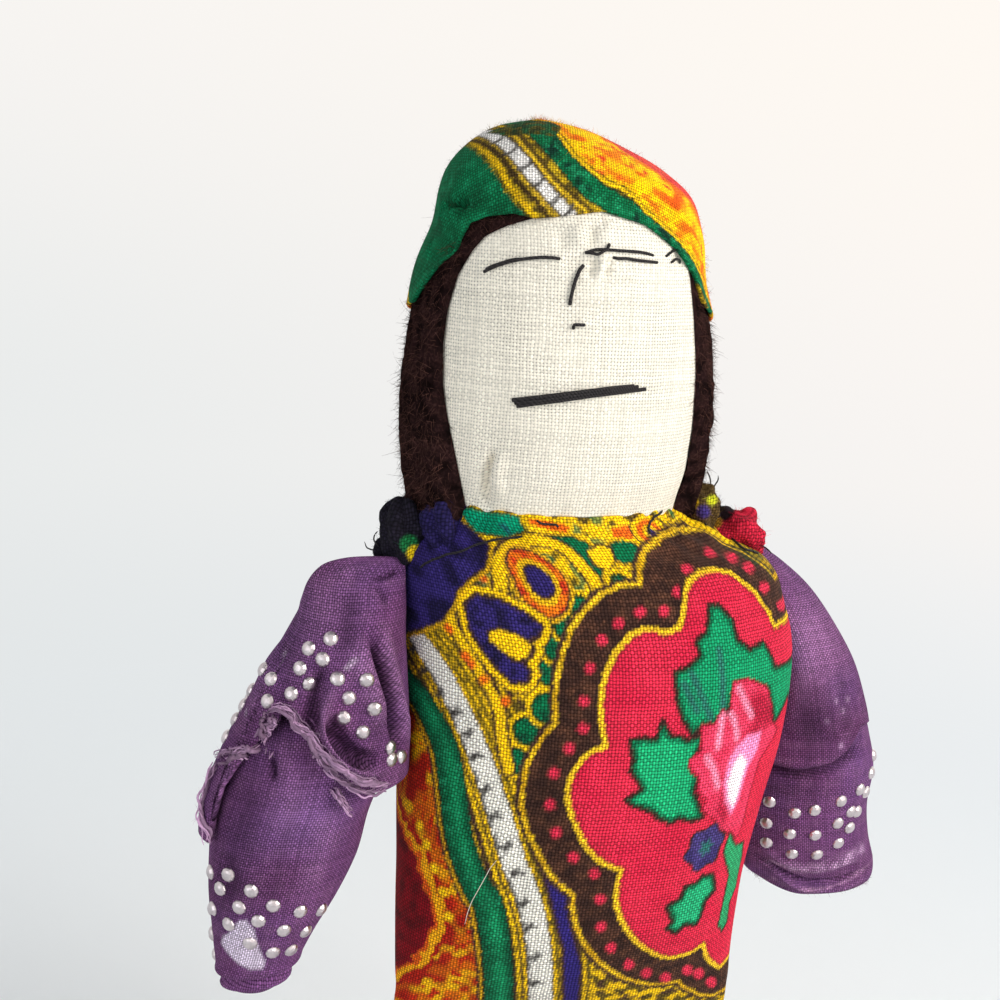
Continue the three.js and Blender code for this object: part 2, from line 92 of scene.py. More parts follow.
# Colours as they look, from 0 to 255
CREAM = (238, 231, 216)
INK = (22, 18, 20)
HAIR = (38, 24, 24)
HAIR_LIGHT = (64, 42, 40)
PURPLE = (106, 64, 108)
PURPLE_SHEER = (208, 194, 214)
# Painted shade for the hollows of folds, and painted highlight for their crests, on the purple cloth
PURPLE_FOLD_SHADE = (44, 22, 46)
PURPLE_FOLD_HIGHLIGHT = (150, 108, 152)
SILVER = (232, 222, 225)
SILVER_WORN = (150, 142, 146)
GREEN = (6, 100, 62)
DARK_GREEN = (10, 66, 44)
LEAF_EDGE = (8, 96, 62)
YELLOW = (240, 192, 16)
OCHRE = (196, 150, 20)
OLIVE = (92, 76, 24)
BROWN = (66, 44, 36)
DARK_BROWN = (60, 38, 30)
NAVY = (46, 36, 98)
RED = (208, 40, 66)
DOT_RED = (206, 44, 70)
CRIMSON = (190, 24, 56)
DEEP_RED = (122, 10, 22)
ORANGE = (232, 98, 22)
WHITE = (222, 218, 208)
PURPLE_WORN = (206, 170, 204)
FRAYED = (206, 164, 202)
CUFF_FUZZ = (190, 146, 184)
HAIR_FUZZ = (96, 64, 56)
PALE_HAIR = (214, 206, 190)
FLOOR = (238, 240, 241)


def linear(colour):
    """A colour from 0 to 255 as linear light."""
    c = np.asarray(colour, float) / 255
    return np.where(c <= 0.04045, c / 12.92, ((c + 0.055) / 1.055) ** 2.4)


# The camera's view


def view_axes():
    a, e, r = CAMERA_AZIMUTH, CAMERA_ELEVATION, CAMERA_ROLL
    back = np.array([math.sin(a) * math.cos(e), -math.cos(a) * math.cos(e), math.sin(e)])
    level = np.array([math.cos(a), math.sin(a), 0])
    up = np.cross(back, level)
    right = level * math.cos(r) + up * math.sin(r)
    return right, up * math.cos(r) - level * math.sin(r), back


RIGHT, UP, BACK = view_axes()
EYE = CAMERA_TARGET + CAMERA_DISTANCE * BACK


def rays(pixels):
    pixels = np.asarray(pixels, float)
    half = PICTURE / 2
    across = (pixels[:, :1] - half) / FOCAL
    upward = (half - pixels[:, 1:]) / FOCAL
    return across * RIGHT + upward * UP - BACK


def project(points):
    """Pixels where points show in the picture, and their distances from the camera."""
    away = points - EYE
    depth = -away @ BACK
    half = PICTURE / 2
    return np.stack([half + FOCAL * (away @ RIGHT) / depth, half - FOCAL * (away @ UP) / depth], -1), depth


def link(name, data):
    obj = bpy.data.objects.new(name, data)
    bpy.context.scene.collection.objects.link(obj)
    return obj


def make_camera():
    data = bpy.data.cameras.new("camera")
    data.sensor_width = SENSOR
    data.lens = SENSOR * FOCAL / PICTURE
    data.clip_start = CLIP_NEAR
    data.clip_end = CLIP_FAR
    camera = link("camera", data)
    matrix = Matrix.Identity(4)
    for row in range(3):
        matrix[row][0], matrix[row][1], matrix[row][2] = RIGHT[row], UP[row], BACK[row]
        matrix[row][3] = EYE[row] * MM
    camera.matrix_world = matrix
    bpy.context.scene.camera = camera


# Curves and noise


def smooth_line(points, closed=False, steps=8):
    """A rounded line through points, with a number of steps between each pair."""
    p = np.asarray(points, float)
    if closed:
        ring = np.vstack([p[-1], p, p[0], p[1]])
    else:
        ring = np.vstack([2 * p[0] - p[1], p, 2 * p[-1] - p[-2]])
    a, b, c, d = (ring[i : len(ring) - 3 + i] for i in range(4))
    t = np.linspace(0, 1, steps, endpoint=False)[None, :, None]
    a, b, c, d = (x[:, None, :] for x in (a, b, c, d))
    square, cube = 2 * a - 5 * b + 4 * c - d, 3 * b - a - 3 * c + d
    curve = 0.5 * (2 * b + (c - a) * t + square * t**2 + cube * t**3)
    curve = curve.reshape(-1, p.shape[1])
    return curve if closed else np.vstack([curve, p[-1]])


def even_line(points, spacing):
    """The same line with its points a set distance apart."""
    p = np.asarray(points, float)
    length = np.concatenate([[0], np.cumsum(np.linalg.norm(np.diff(p, axis=0), axis=1))])
    count = max(2, int(round(length[-1] / spacing)) + 1)
    at = np.linspace(0, length[-1], count)
    return np.stack([np.interp(at, length, p[:, k]) for k in range(p.shape[1])], 1)


def noise(points, size, seed):
    """Smooth noise from 0 to 1 with blotches of a size, over points in two or three coordinates."""
    rng = np.random.default_rng(seed)
    cells = 64
    table = rng.random((cells,) * points.shape[1])
    at = points / size
    low = np.floor(at).astype(int)
    part = at - low
    part = part * part * (3 - 2 * part)
    total = 0
    for corner in np.ndindex((2,) * points.shape[1]):
        index = tuple(((low + corner) % cells).T)
        weight = np.prod(np.where(corner, part, 1 - part), axis=1)
        total = total + weight * table[index]
    return total


def unit(vector):
    return vector / np.linalg.norm(vector)


def unit_rows(vectors):
    return vectors / np.linalg.norm(vectors, axis=-1, keepdims=True)


def ridge(distance, width):
    return np.exp(-((distance / width) ** 2))


def ramp(value, start, end):
    """Rises smoothly from 0 at the start to 1 at the end."""
    t = np.clip((value - start) / (end - start), 0, 1)
    return t * t * (3 - 2 * t)


# Flat shapes: distances from points in cloth coordinates to lines and outlines


def line_distance(flat, line, reach):
    """Distance to a line, positive on its left and never past the reach, and the place along it."""
    line = np.asarray(line, float)
    distance = np.full(len(flat), float(reach))
    along = np.zeros(len(flat))
    near = ((flat > line.min(0) - reach) & (flat < line.max(0) + reach)).all(1)
    p = flat[near]
    best = np.full(len(p), float(reach))
    side = np.ones(len(p))
    place = np.zeros(len(p))
    start = 0.0
    for a, b in zip(line[:-1], line[1:]):
        d = b - a
        length = math.hypot(*d)
        if length == 0:
            continue
        t = np.clip((p - a) @ d / length**2, 0, 1)
        away = p - a - t[:, None] * d
        gap = np.linalg.norm(away, axis=1)
        closer = gap < best
        best[closer] = gap[closer]
        side[closer] = np.where(d[0] * away[closer, 1] - d[1] * away[closer, 0] < 0, -1, 1)
        place[closer] = start + t[closer] * length
        start += length
    distance[near] = best * side
    along[near] = place
    return distance, along


def outline_distance(flat, outline, reach=3.0):
    """Signed distance to a closed outline: negative inside, and the reach where it is further out."""
    ring = np.vstack([outline, outline[:1]])
    distance = np.abs(line_distance(flat, ring, reach)[0])
    inside = np.zeros(len(flat), bool)
    box = ((flat >= ring.min(0)) & (flat <= ring.max(0))).all(1)
    x, y = flat[box, 0], flat[box, 1]
    crossed = np.zeros(len(x), bool)
    for a, b in zip(ring[:-1], ring[1:]):
        if a[1] == b[1]:
            continue
        spans = (a[1] > y) != (b[1] > y)
        crossed ^= spans & (x < a[0] + (y - a[1]) * (b[0] - a[0]) / (b[1] - a[1]))
    inside[box] = crossed
    return np.where(inside, -distance, distance)


def fading_line(flat, line, reach, share):
    """Distance to a line, and a fade towards its ends over a share of its length."""
    distance, along = line_distance(flat, line, reach)
    length = np.linalg.norm(np.diff(line, axis=0), axis=1).sum()
    return distance, np.clip(np.minimum(along, length - along) / (share * length), 0, 1)


def soft_cover(distance, blur, middle=0.5):
    """1 inside an outline and 0 outside it, with a soft step between."""
    return np.clip(middle - distance / blur, 0, 1)


class Canvas:
    """Colours painted over points in cloth coordinates. The draw function gives pixels' places in them."""

    def __init__(self, flat, ground, draw, seed=1):
        rng = np.random.default_rng(seed)
        self.flat = flat + rng.normal(0, PRINT_WANDER, flat.shape)
        self.draw = draw
        self.colour = np.tile(linear(ground), (len(flat), 1))

    def outline(self, pixels, reach=3.0):
        """Signed distance to an outline that pixels give."""
        return outline_distance(self.flat, self.draw(pixels), reach)

    def line(self, pixels, reach):
        """Signed distance to a rounded line that pixels give."""
        return line_distance(self.flat, smooth_line(self.draw(pixels)), reach)[0]

    def away(self, pixel, scale=(1, 1)):
        """Distance to the place of a pixel."""
        return np.linalg.norm((self.flat - self.draw([pixel])[0]) * scale, axis=1)

    def patches(self, size, seed, least):
        """1 in the blotches of a noise and 0 between them."""
        return noise(self.flat, size, seed) > least

    def put(self, cover, colour):
        cover = np.clip(cover, 0, 1)[:, None]
        self.colour += cover * (linear(colour) - self.colour)

    def cover(self, distance):
        return soft_cover(distance, PRINT_BLUR)

    def area(self, distance, colour):
        self.put(self.cover(distance), colour)

    def band(self, distance, start, end, colour):
        self.put(self.cover(start - distance) * self.cover(distance - end), colour)

    def ringed(self, distance, colour, *rings):
        """A filled shape inside rings, each with an outer distance and a colour, from the widest in."""
        for reach, ring in rings:
            self.area(distance - reach, ring)
        self.area(distance, colour)

    def stroke(self, pixels, *layers):
        """A rounded line in layers, each with a width and a colour."""
        line = smooth_line(self.draw(pixels))
        for width, colour in layers:
            distance, _ = line_distance(self.flat, line, width + 1)
            self.area(np.abs(distance) - width / 2, colour)

    def spot(self, centre, radius, colour, blur=0.0):
        distance = np.linalg.norm(self.flat - centre, axis=1) - radius
        self.put(soft_cover(distance, PRINT_BLUR + blur), colour)

    def spots(self, pixels, radius, colour):
        for centre in self.draw(pixels):
            self.spot(centre, radius, colour, 0.5)

    def marks(self, pixels, share, colour):
        for centre in self.draw(pixels):
            self.put(share * ridge(np.linalg.norm(self.flat - centre, axis=1), 0.5), colour)

    # Paints a soft oval patch of light or shade: a lighter colour for a painted highlight, a darker one for
    # painted shade.
    def glow(self, pixel, reach, colour, share):
        away = (self.flat - self.draw([pixel])[0]) / reach
        self.put(share * np.exp(-np.sum(away**2, 1)), colour)

    def mottle(self, cover, colour, size, seed, share=0.5, edge=0.12):
        blotch = noise(self.flat, size, seed)
        self.put(cover * np.clip((blotch - 1 + share) / edge + 0.5, 0, 1), colour)

    def shade_and_highlight_folds(self, folds):
        """Painted shade and highlight: darkens the hollows of folds and lightens their crests."""
        for pixels, width, depth in folds:
            distance, fade = fading_line(self.flat, smooth_line(self.draw(pixels)), 4 * width, 0.2)
            tone, share = (PURPLE_FOLD_SHADE, 0.72) if depth < 0 else (PURPLE_FOLD_HIGHLIGHT, 0.4)
            self.put(min(share, share * abs(depth)) * ridge(distance, 0.9 * width) * fade, tone)


# Round soft forms


RAY_LENGTHS = np.arange(150, 330, 0.5)


class Form:
    """A soft form of stacked ovals. A station gives a height, half-width, half-depth and the centre."""

    TABLE = 400

    def __init__(self, stations, x=0.0, y=0.0):
        knots = np.asarray(stations, float) + [0, 0, 0, x, y]
        steps = max(2, self.TABLE // (len(knots) - 1))
        table = smooth_line(knots, steps=steps)
        self.table = table[np.argsort(table[:, 0], kind="stable")]
        self.table[:, 1:3] = np.maximum(self.table[:, 1:3], 0.001)
        self.low, self.high = self.table[0, 0], self.table[-1, 0]
        girth = self.table[:, 1:3].mean(1)
        steps = np.hypot(np.diff(self.table[:, 0]), np.diff(girth))
        self.rise = self.low + np.concatenate([[0], np.cumsum(steps)])

    def at(self, z):
        return [np.interp(z, self.table[:, 0], self.table[:, k]) for k in range(1, 5)]

    def point(self, theta, z):
        width, depth, x, y = self.at(z)
        return np.stack(np.broadcast_arrays(x + width * np.cos(theta), y + depth * np.sin(theta), z), -1)

    def value(self, points):
        """1 on the surface, less inside."""
        z = points[..., 2]
        width, depth, x, y = self.at(z)
        value = np.hypot((points[..., 0] - x) / width, (points[..., 1] - y) / depth)
        return np.where((z < self.low) | (z > self.high), 9, value)

    def angle(self, points):
        width, depth, x, y = self.at(points[..., 2])
        return np.arctan2((points[..., 1] - y) / depth, (points[..., 0] - x) / width)

    def arc(self, theta, z):
        """Length round the form from its front, to the doll's left positive."""
        theta, z = np.broadcast_arrays(theta, z)
        width, depth, _, _ = self.at(z)
        turn = (theta - FRONT + math.pi) % TURN - math.pi
        steps = np.linspace(0, 1, 49)
        angles = FRONT + turn[..., None] * steps
        x = width[..., None] * np.cos(angles)
        y = depth[..., None] * np.sin(angles)
        length = np.hypot(np.diff(x, axis=-1), np.diff(y, axis=-1)).sum(-1)
        return np.sign(turn) * length

    def length_up(self, z):
        """Length along the form's side from its foot."""
        return np.interp(z, self.table[:, 0], self.rise)

    def flat(self, points):
        """Cloth coordinates: the length round the form from its front, and the length up its side."""
        z = points[..., 2]
        return np.stack([self.arc(self.angle(points), z), self.length_up(z)], -1)

    def cast(self, pixels):
        """Points where the camera's rays through pixels meet the form, or pass it closest."""
        directions = rays(pixels)
        far = RAY_LENGTHS
        points = EYE + directions[:, None, :] * far[None, :, None]
        value = self.value(points)
        inside = value < 1
        first = np.where(inside.any(1), inside.argmax(1), value.argmin(1))
        last = np.maximum(first - 1, 0)
        row = np.arange(len(first))
        here, before = value[row, first], value[row, last]
        share = np.where(inside.any(1), (before - 1) / np.maximum(before - here, 1e-6), 1)
        at = far[last] + np.clip(share, 0, 1) * (far[first] - far[last])
        return EYE + directions * at[:, None]

    def cast_flat(self, pixels):
        return self.flat(self.cast(pixels))

    def cast_angle(self, pixels):
        points = self.cast(pixels)
        return self.angle(points), points[:, 2]

    def columns(self, z, count, front_weight=1.0):
        """Angles from the back round the front to the back, evenly spaced along the form at a height."""
        fine = np.linspace(FRONT - math.pi + 1e-4, FRONT + math.pi - 1e-4, 2001)
        edge = self.point(fine, np.full(len(fine), z))
        length = np.linalg.norm(np.diff(edge, axis=0), axis=1)
        middle = (fine[1:] + fine[:-1]) / 2
        length *= np.where(np.sin(middle) < 0, front_weight, 1)
        total = np.concatenate([[0], np.cumsum(length)])
        return np.interp(np.linspace(0, total[-1], count, endpoint=False), total, fine)

    def rows(self, start, end, count):
        """Heights evenly spaced along the form's side, between two heights."""
        fine = np.linspace(start, end, 1200)
        total = self.length_up(fine)
        return np.interp(np.linspace(total[0], total[-1], count), total, fine)

    def grown(self, amount):
        """The form with its half-sizes grown by an amount."""
        copy = Form.__new__(Form)
        copy.table = self.table.copy()
        copy.table[:, 1:3] = np.maximum(copy.table[:, 1:3] + amount, 0.001)
        copy.low, copy.high, copy.rise = self.low, self.high, self.rise
        return copy


def keep_out(points, form, gap):
    """Moves points that lie in a form out to its surface, with a gap."""
    width, depth, x, y = form.at(points[..., 2])
    value = form.value(points)
    limit = 1 + gap / np.minimum(width, depth)
    inside = value < limit
    scale = np.where(inside, limit / np.maximum(value, 1e-3), 1)
    moved = points.copy()
    moved[..., 0] = x + (points[..., 0] - x) * scale
    moved[..., 1] = y + (points[..., 1] - y) * scale
    return moved


def grid_normals(grid, closed):
    if closed:
        around = np.roll(grid, -1, 1) - np.roll(grid, 1, 1)
    else:
        around = np.gradient(grid, axis=1)
    along = np.gradient(grid, axis=0)
    normal = np.cross(around, along)
    return normal / np.maximum(np.linalg.norm(normal, axis=-1, keepdims=True), 1e-9)


def push(grid, amount, closed=True):
    return grid + grid_normals(grid, closed) * amount[..., None]


# Meshes


def make_mesh(name, points, faces, corner_uv=None, tint=None, smooth=True):
    mesh = bpy.data.meshes.new(name)
    mesh.from_pydata((np.asarray(points) * MM).tolist(), [], faces)
    mesh.update()
    if smooth:
        mesh.shade_smooth()
    if corner_uv is not None:
        layer = mesh.uv_layers.new(name="cloth")
        layer.data.foreach_set("uv", np.asarray(corner_uv, np.float32).ravel())
    if tint is not None:
        colours = np.ones((len(points), 4), np.float32)
        colours[:, :3] = tint
        layer = mesh.color_attributes.new(name="tint", type="FLOAT_COLOR", domain="POINT")
        layer.data.foreach_set("color", colours.ravel())
    return link(name, mesh)


def grid_faces(rows, columns, closed):
    r, c = np.meshgrid(np.arange(rows - 1), np.arange(columns if closed else columns - 1), indexing="ij")
    r, c = r.ravel(), c.ravel()
    n = (c + 1) % columns
    return np.stack([r * columns + c, r * columns + n, (r + 1) * columns + n, (r + 1) * columns + c], 1)


def fan_faces(ring, hub, flipped=False):
    """Triangles from each pair of neighbours in a ring to a hub."""
    after = np.roll(ring, -1)
    first, second = (after, ring) if flipped else (ring, after)
    return np.stack([first, second, np.full(len(ring), hub)], 1)


def grid_object(name, grid, flat, closed=True, tint=None, capped=(True, True), wraps=True):
    """An object from a grid of points, whose flat coordinates give its cloth map."""
    rows, columns = grid.shape[:2]
    points = grid.reshape(-1, 3)
    places = flat.reshape(-1, 2)
    faces = grid_faces(rows, columns, closed)
    corner = places[faces]
    if closed and wraps:
        seam = (np.arange(len(faces)) % columns == columns - 1)[:, None] & [False, True, True, False]
        period = 2 * np.abs(flat[:, 0, 0])
        corner[..., 0] += np.where(seam, period[faces // columns], 0)
    all_faces, corners = faces.tolist(), [corner.reshape(-1, 2)]
    ends = [end for end, wanted in zip((0, rows - 1), capped) if wanted and closed]
    rings = [np.arange(columns) + end * columns for end in ends]
    for k, ring in enumerate(rings):
        fan = fan_faces(ring, len(points) + k, flipped=ring[0] == 0)
        all_faces += fan.tolist()
        middle = np.tile(places[ring].mean(0), (columns, 1))
        corners.append(np.stack([places[fan[:, 0]], places[fan[:, 1]], middle], 1).reshape(-1, 2))
    if rings and tint is not None:
        tint = np.vstack([tint, [tint[ring].mean(0) for ring in rings]])
    if rings:
        points = np.vstack([points, [points[ring].mean(0) for ring in rings]])
    return make_mesh(name, points, all_faces, np.vstack(corners), tint)


class Bundle:
    """Many small shapes gathered into one mesh."""

    def __init__(self):
        self.points, self.faces, self.count = [], [], 0

    def add(self, points, *face_groups):
        for faces in face_groups:
            self.faces += (faces + self.count).tolist()
        self.points.append(points)
        self.count += len(points)

    def add_tube(self, line, radius, sides=6, taper=0.0):
        """A closed tube along a line, thinner at its ends by a share."""
        line = np.asarray(line, float)
        tangent = np.gradient(line, axis=0)
        tangent /= np.linalg.norm(tangent, axis=1, keepdims=True) + 1e-12
        upright = abs(tangent[0][2]) >= 0.9
        helper = np.array([0.93, 0.31, 0.17] if upright else [0.31, 0.17, 0.93])
        side = unit_rows(np.cross(tangent, helper))
        other = np.cross(tangent, side)
        turn = np.arange(sides) / sides * TURN
        share = np.linspace(0, 1, len(line))
        size = radius * (1 - taper * (2 * np.abs(share - 0.5)) ** 4)
        ring = side[:, None] * np.cos(turn)[None, :, None] + other[:, None] * np.sin(turn)[None, :, None]
        points = (line[:, None] + ring * size[:, None, None]).reshape(-1, 3)
        first = np.arange(sides)
        low = fan_faces(first, len(points), flipped=True)
        high = fan_faces(first + (len(line) - 1) * sides, len(points) + 1)
        self.add(np.vstack([points, line[0], line[-1]]), grid_faces(len(line), sides, True), low, high)

    def build(self, name, tint=None, smooth=True):
        return make_mesh(name, np.vstack(self.points), self.faces, tint=tint, smooth=smooth)


# Materials


class Shader:
    """A material with a Principled shader and short ways to add nodes."""

    def __init__(self, name, roughness=0.9, metallic=0.0):
        self.material = bpy.data.materials.new(name)
        self.material.use_nodes = True
        self.tree = self.material.node_tree
        self.surface = self.tree.nodes["Principled BSDF"]
        self.surface.inputs["Roughness"].default_value = roughness
        self.surface.inputs["Metallic"].default_value = metallic

    def node(self, kind, **settings):
        node = self.tree.nodes.new(kind)
        for key, value in settings.items():
            setattr(node, key, value)
        return node

    def feed(self, socket, value):
        if isinstance(value, bpy.types.NodeSocket):
            self.tree.links.new(value, socket)
        else:
            socket.default_value = value

    def math(self, operation, a, b=0.0, c=0.0):
        node = self.node("ShaderNodeMath", operation=operation)
        for socket, value in zip(node.inputs, (a, b, c)):
            self.feed(socket, value)
        return node.outputs[0]

    def mix(self, a, b, factor, blend="MIX"):
        node = self.node("ShaderNodeMix", data_type="RGBA", blend_type=blend)
        self.feed(node.inputs["Factor"], factor)
        colours = [s for s in node.inputs if s.type == "RGBA"]
        self.feed(colours[0], a)
        self.feed(colours[1], b)
        return [s for s in node.outputs if s.type == "RGBA"][0]

    def pick(self, a, b, factor):
        """Values a and b mixed by a factor from 0 to 1."""
        return self.math("ADD", a, self.math("MULTIPLY", self.math("SUBTRACT", b, a), factor))

    def noise(self, vector, scale, detail=3.0):
        node = self.node("ShaderNodeTexNoise")
        self.feed(node.inputs["Vector"], vector)
        node.inputs["Scale"].default_value = scale
        node.inputs["Detail"].default_value = detail
        return node.outputs["Fac"]

    def ramp(self, value, start, end):
        node = self.node("ShaderNodeMapRange", interpolation_type="SMOOTHSTEP")
        self.feed(node.inputs["Value"], value)
        node.inputs["From Min"].default_value = start
        node.inputs["From Max"].default_value = end
        return node.outputs["Result"]

    def place(self):
        return self.node("ShaderNodeTexCoord").outputs["Object"]

    def cloth_map(self):
        return self.node("ShaderNodeUVMap", uv_map="cloth").outputs["UV"]

    def tint(self):
        return self.node("ShaderNodeAttribute", attribute_name="tint").outputs["Color"]

    def colour(self, value):
        self.feed(self.surface.inputs["Base Color"], value)

    def bump(self, height, strength, distance):
        node = self.node("ShaderNodeBump")
        node.inputs["Strength"].default_value = strength
        node.inputs["Distance"].default_value = distance * MM
        self.feed(node.inputs["Height"], height)
        self.feed(self.surface.inputs["Normal"], node.outputs["Normal"])

    def specular(self, level):
        self.surface.inputs["Specular IOR Level"].default_value = level


def rgba(colour):
    return (*linear(colour), 1.0)


def weave(s, pitch):
    """The weave's height, the threads' own tones, the cells with the warp on top, and the threads' ridges."""
    wander = s.math("MULTIPLY", s.math("SUBTRACT", s.noise(s.place(), 260, 2), 0.5), 0.9)
    split = s.node("ShaderNodeSeparateXYZ")
    s.feed(split.inputs[0], s.cloth_map())
    threads, ridges, tones = [], [], []
    for socket in split.outputs[:2]:
        thread = s.math("ADD", s.math("DIVIDE", socket, pitch), wander)
        threads.append(s.math("FLOOR", thread))
        ridges.append(s.math("ABSOLUTE", s.math("SINE", s.math("MULTIPLY", thread, math.pi))))
        tone = s.node("ShaderNodeTexWhiteNoise", noise_dimensions="1D")
        s.feed(tone.inputs["W"], threads[-1])
        tones.append(tone.outputs["Value"])
    warp, weft = ridges
    cell = s.math("ADD", *threads)
    odd = s.math("GREATER_THAN", s.math("FRACT", s.math("MULTIPLY", cell, 0.5)), 0.25)
    over_warp = s.math("MULTIPLY", warp, s.math("MULTIPLY_ADD", weft, 0.5, 0.5))
    over_weft = s.math("MULTIPLY", weft, s.math("MULTIPLY_ADD", warp, 0.5, 0.5))
    return s.pick(over_weft, over_warp, odd), s.pick(tones[1], tones[0], odd), odd, ridges


def woven_cloth(name, pitch, holes, depth, slub, colour=None):
    """Plain-woven cloth. Its threads follow the cloth map, and its colour is its tint or the one given."""
    s = Shader(name, roughness=0.95)
    s.specular(0.15)
    place = s.place()
    height, tone, odd, ridges = weave(s, pitch)
    # Painted shade and highlight of the weave: the colour darkens where the threads part and down their
    # sides, and lightens on their crowns.
    edges = [s.math("MAXIMUM", s.math("MULTIPLY_ADD", ridge, -1.35, 1.0), 0.0) for ridge in ridges]
    open_share = s.math("MULTIPLY_ADD", s.noise(place, 130, 3), 2.0, -0.25)
    gap = s.math("MULTIPLY", s.math("MULTIPLY", *edges), open_share)
    total = s.math("SUBTRACT", 1.0, s.math("MINIMUM", s.math("MULTIPLY", gap, holes), 0.9))
    for level, strength in (
        (height, depth), (s.noise(place, 1500, 2), slub), (tone, 0.5 * slub), (odd, 0.3 * depth),
        (s.noise(place, 90, 3), 0.16),
    ):
        share = s.math("MULTIPLY_ADD", s.math("SUBTRACT", level, 0.5), strength, 1.0)
        total = s.math("MULTIPLY", total, share)
    grey = s.node("ShaderNodeCombineColor")
    for socket in grey.inputs:
        s.feed(socket, total)
    base = s.tint() if colour is None else rgba(colour)
    s.colour(s.mix(base, grey.outputs[0], 1.0, blend="MULTIPLY"))
    s.bump(height, 0.55, WEAVE_RELIEF)
    return s.material


def felt(name, colour, light):
    s = Shader(name, roughness=1.0)
    s.specular(0.0)
    place = s.place()
    coarse = s.noise(place, 420, 6)
    fine = s.noise(place, 2200, 4)
    base = s.mix(rgba(colour), rgba(light), s.ramp(fine, 0.42, 0.75))
    dark = tuple(0.45 * c for c in colour)
    s.colour(s.mix(rgba(dark), base, s.ramp(coarse, 0.32, 0.62)))
    s.bump(s.math("ADD", coarse, s.math("MULTIPLY", fine, 0.5)), 0.9, 0.6)
    return s.material


def spun_thread(name, colour):
    s = Shader(name, roughness=0.65)
    s.specular(0.3)
    place = s.place()
    wave = s.node("ShaderNodeTexWave", wave_type="BANDS", bands_direction="DIAGONAL")
    s.feed(wave.inputs["Vector"], place)
    wave.inputs["Scale"].default_value = 1100
    wave.inputs["Distortion"].default_value = 2.0
    lighter = tuple(min(255, c + 34) for c in colour)
    s.colour(s.mix(rgba(colour), rgba(lighter), s.math("MULTIPLY", wave.outputs["Fac"], 0.6)))
    s.bump(wave.outputs["Fac"], 0.7, 0.15)
    return s.material


def brushed_fibre(name):
    s = Shader(name, roughness=1.0)
    s.specular(0.0)
    fine = s.noise(s.place(), 1400, 2)
    s.colour(s.mix(s.tint(), (0.02, 0.015, 0.015, 1), s.math("MULTIPLY", fine, 0.5)))
    return s.material


def stud_metal(name):
    s = Shader(name, roughness=0.26, metallic=1.0)
    place = s.place()
    worn = s.noise(place, 700, 3)
    s.colour(s.mix(rgba(SILVER), rgba(SILVER_WORN), s.math("MULTIPLY", worn, 0.8)))
    s.feed(s.surface.inputs["Roughness"], s.math("MULTIPLY_ADD", worn, 0.3, 0.2))
    s.bump(s.noise(place, 950, 2), 0.25, 0.2)
    return s.material


# Forms of the doll, read off the photograph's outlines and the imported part


def box_middle(node):
    low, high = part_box(node)
    return (low.x + high.x) / 2 / MM, (low.y + high.y) / 2 / MM


MID_X, MID_Y = box_middle("body_skin")
HIP = 72
NECK = 170

BODY = Form([
    (HIP - 1.2, 30.2, 1.2, 0, 0), (HIP + 2.5, 30.4, 1.6, 0, 0), (80, 30.4, 8.4, 0.4, 0),
    (88, 30.4, 14.0, 0.1, 0), (97, 30.6, 18.6, 0, 0), (106, 31.0, 21.0, 0.2, 0), (118, 32.3, 22.2, 0.9, 0),
    (130, 33.5, 22.5, 2.0, 0), (145, 34.2, 22.0, 2.1, 0), (154, 33.5, 20.8, 0.7, 0),
    (160, 31.8, 19.6, -0.8, 0), (165, 26.0, 18.4, -4.2, 0), (168.2, 21.4, 17.2, -6.6, 0),
    (NECK, 19.4, 16.6, -7.2, 0),
], MID_X, MID_Y)

HEAD_X = MID_X - 7.5

HEAD = Form([
    (158, 18.6, 14.6, 0, 0), (NECK, 20.4, 16.2, 0.1, 0), (177, 22.0, 18.4, 0.2, 0),
    (186, 23.2, 20.0, 0.2, 0), (196, 23.4, 20.8, 0, 0), (206, 22.2, 20.4, -0.2, 0),
    (214, 20.0, 18.8, -0.4, 0), (220, 16.2, 15.8, -1.4, 0), (225, 10.0, 10.6, -3.0, 0),
    (228, 0.0, 0.0, -4.6, 0),
], HEAD_X, MID_Y)

HAIR_FORM = Form([
    (167.0, 24.0, 18.8, 0.4, 1.6), (NECK, 24.8, 19.8, 0.4, 1.6), (178, 25.8, 21.6, 0, 1.4),
    (188, 26.0, 22.6, 0, 1.3), (198, 25.0, 22.2, -0.2, 1.2), (206, 22.8, 21.2, -0.4, 1.1),
    (214, 20.5, 19.4, -0.5, 1.0), (220, 17.4, 16.6, -1.4, 0.8), (226, 10.4, 10.8, -3.4, 0.6),
    (229.2, 0.0, 0.0, -5.0, 0.6),
], HEAD_X, MID_Y)

CAP_FORM = Form([
    (190, 26.6, 23.8, 0, 1.4), (197, 26.2, 23.6, 0, 1.3), (203, 24.7, 23.2, -0.5, 1.2),
    (209, 23.4, 22.4, -0.3, 1.2), (214, 22.3, 21.4, -0.1, 1.1), (220, 20.6, 19.4, -0.8, 1.0),
    (224, 17.4, 16.6, -2.3, 0.8), (227.6, 12.2, 12.2, -4.0, 0.6), (230.0, 6.8, 7.0, -5.2, 0.4),
    (231.3, 0.0, 0.0, -5.8, 0.4),
], HEAD_X, MID_Y)

RIGHT_ARM_Y = MID_Y - 7

RIGHT_SLEEVE = Form([
    (111, 15.9, 11.2, -45.2, 0.2), (119, 16.6, 11.6, -44.2, 0), (129, 15.2, 11.2, -42.7, 0),
    (137, 13.0, 10.4, -41.0, 0), (147, 9.9, 9.0, -38.7, 0), (152.5, 8.6, 6.6, -37.4, 0.6),
    (156.2, 7.9, 4.0, -36.8, 1.2), (158.4, 7.2, 2.0, -36.0, 1.6), (159.6, 6.3, 0.9, -35.1, 1.8),
    (160.4, 4.2, 0.5, -34.0, 1.9), (160.7, 0.0, 0.0, -33.6, 1.9),
], 0, RIGHT_ARM_Y)

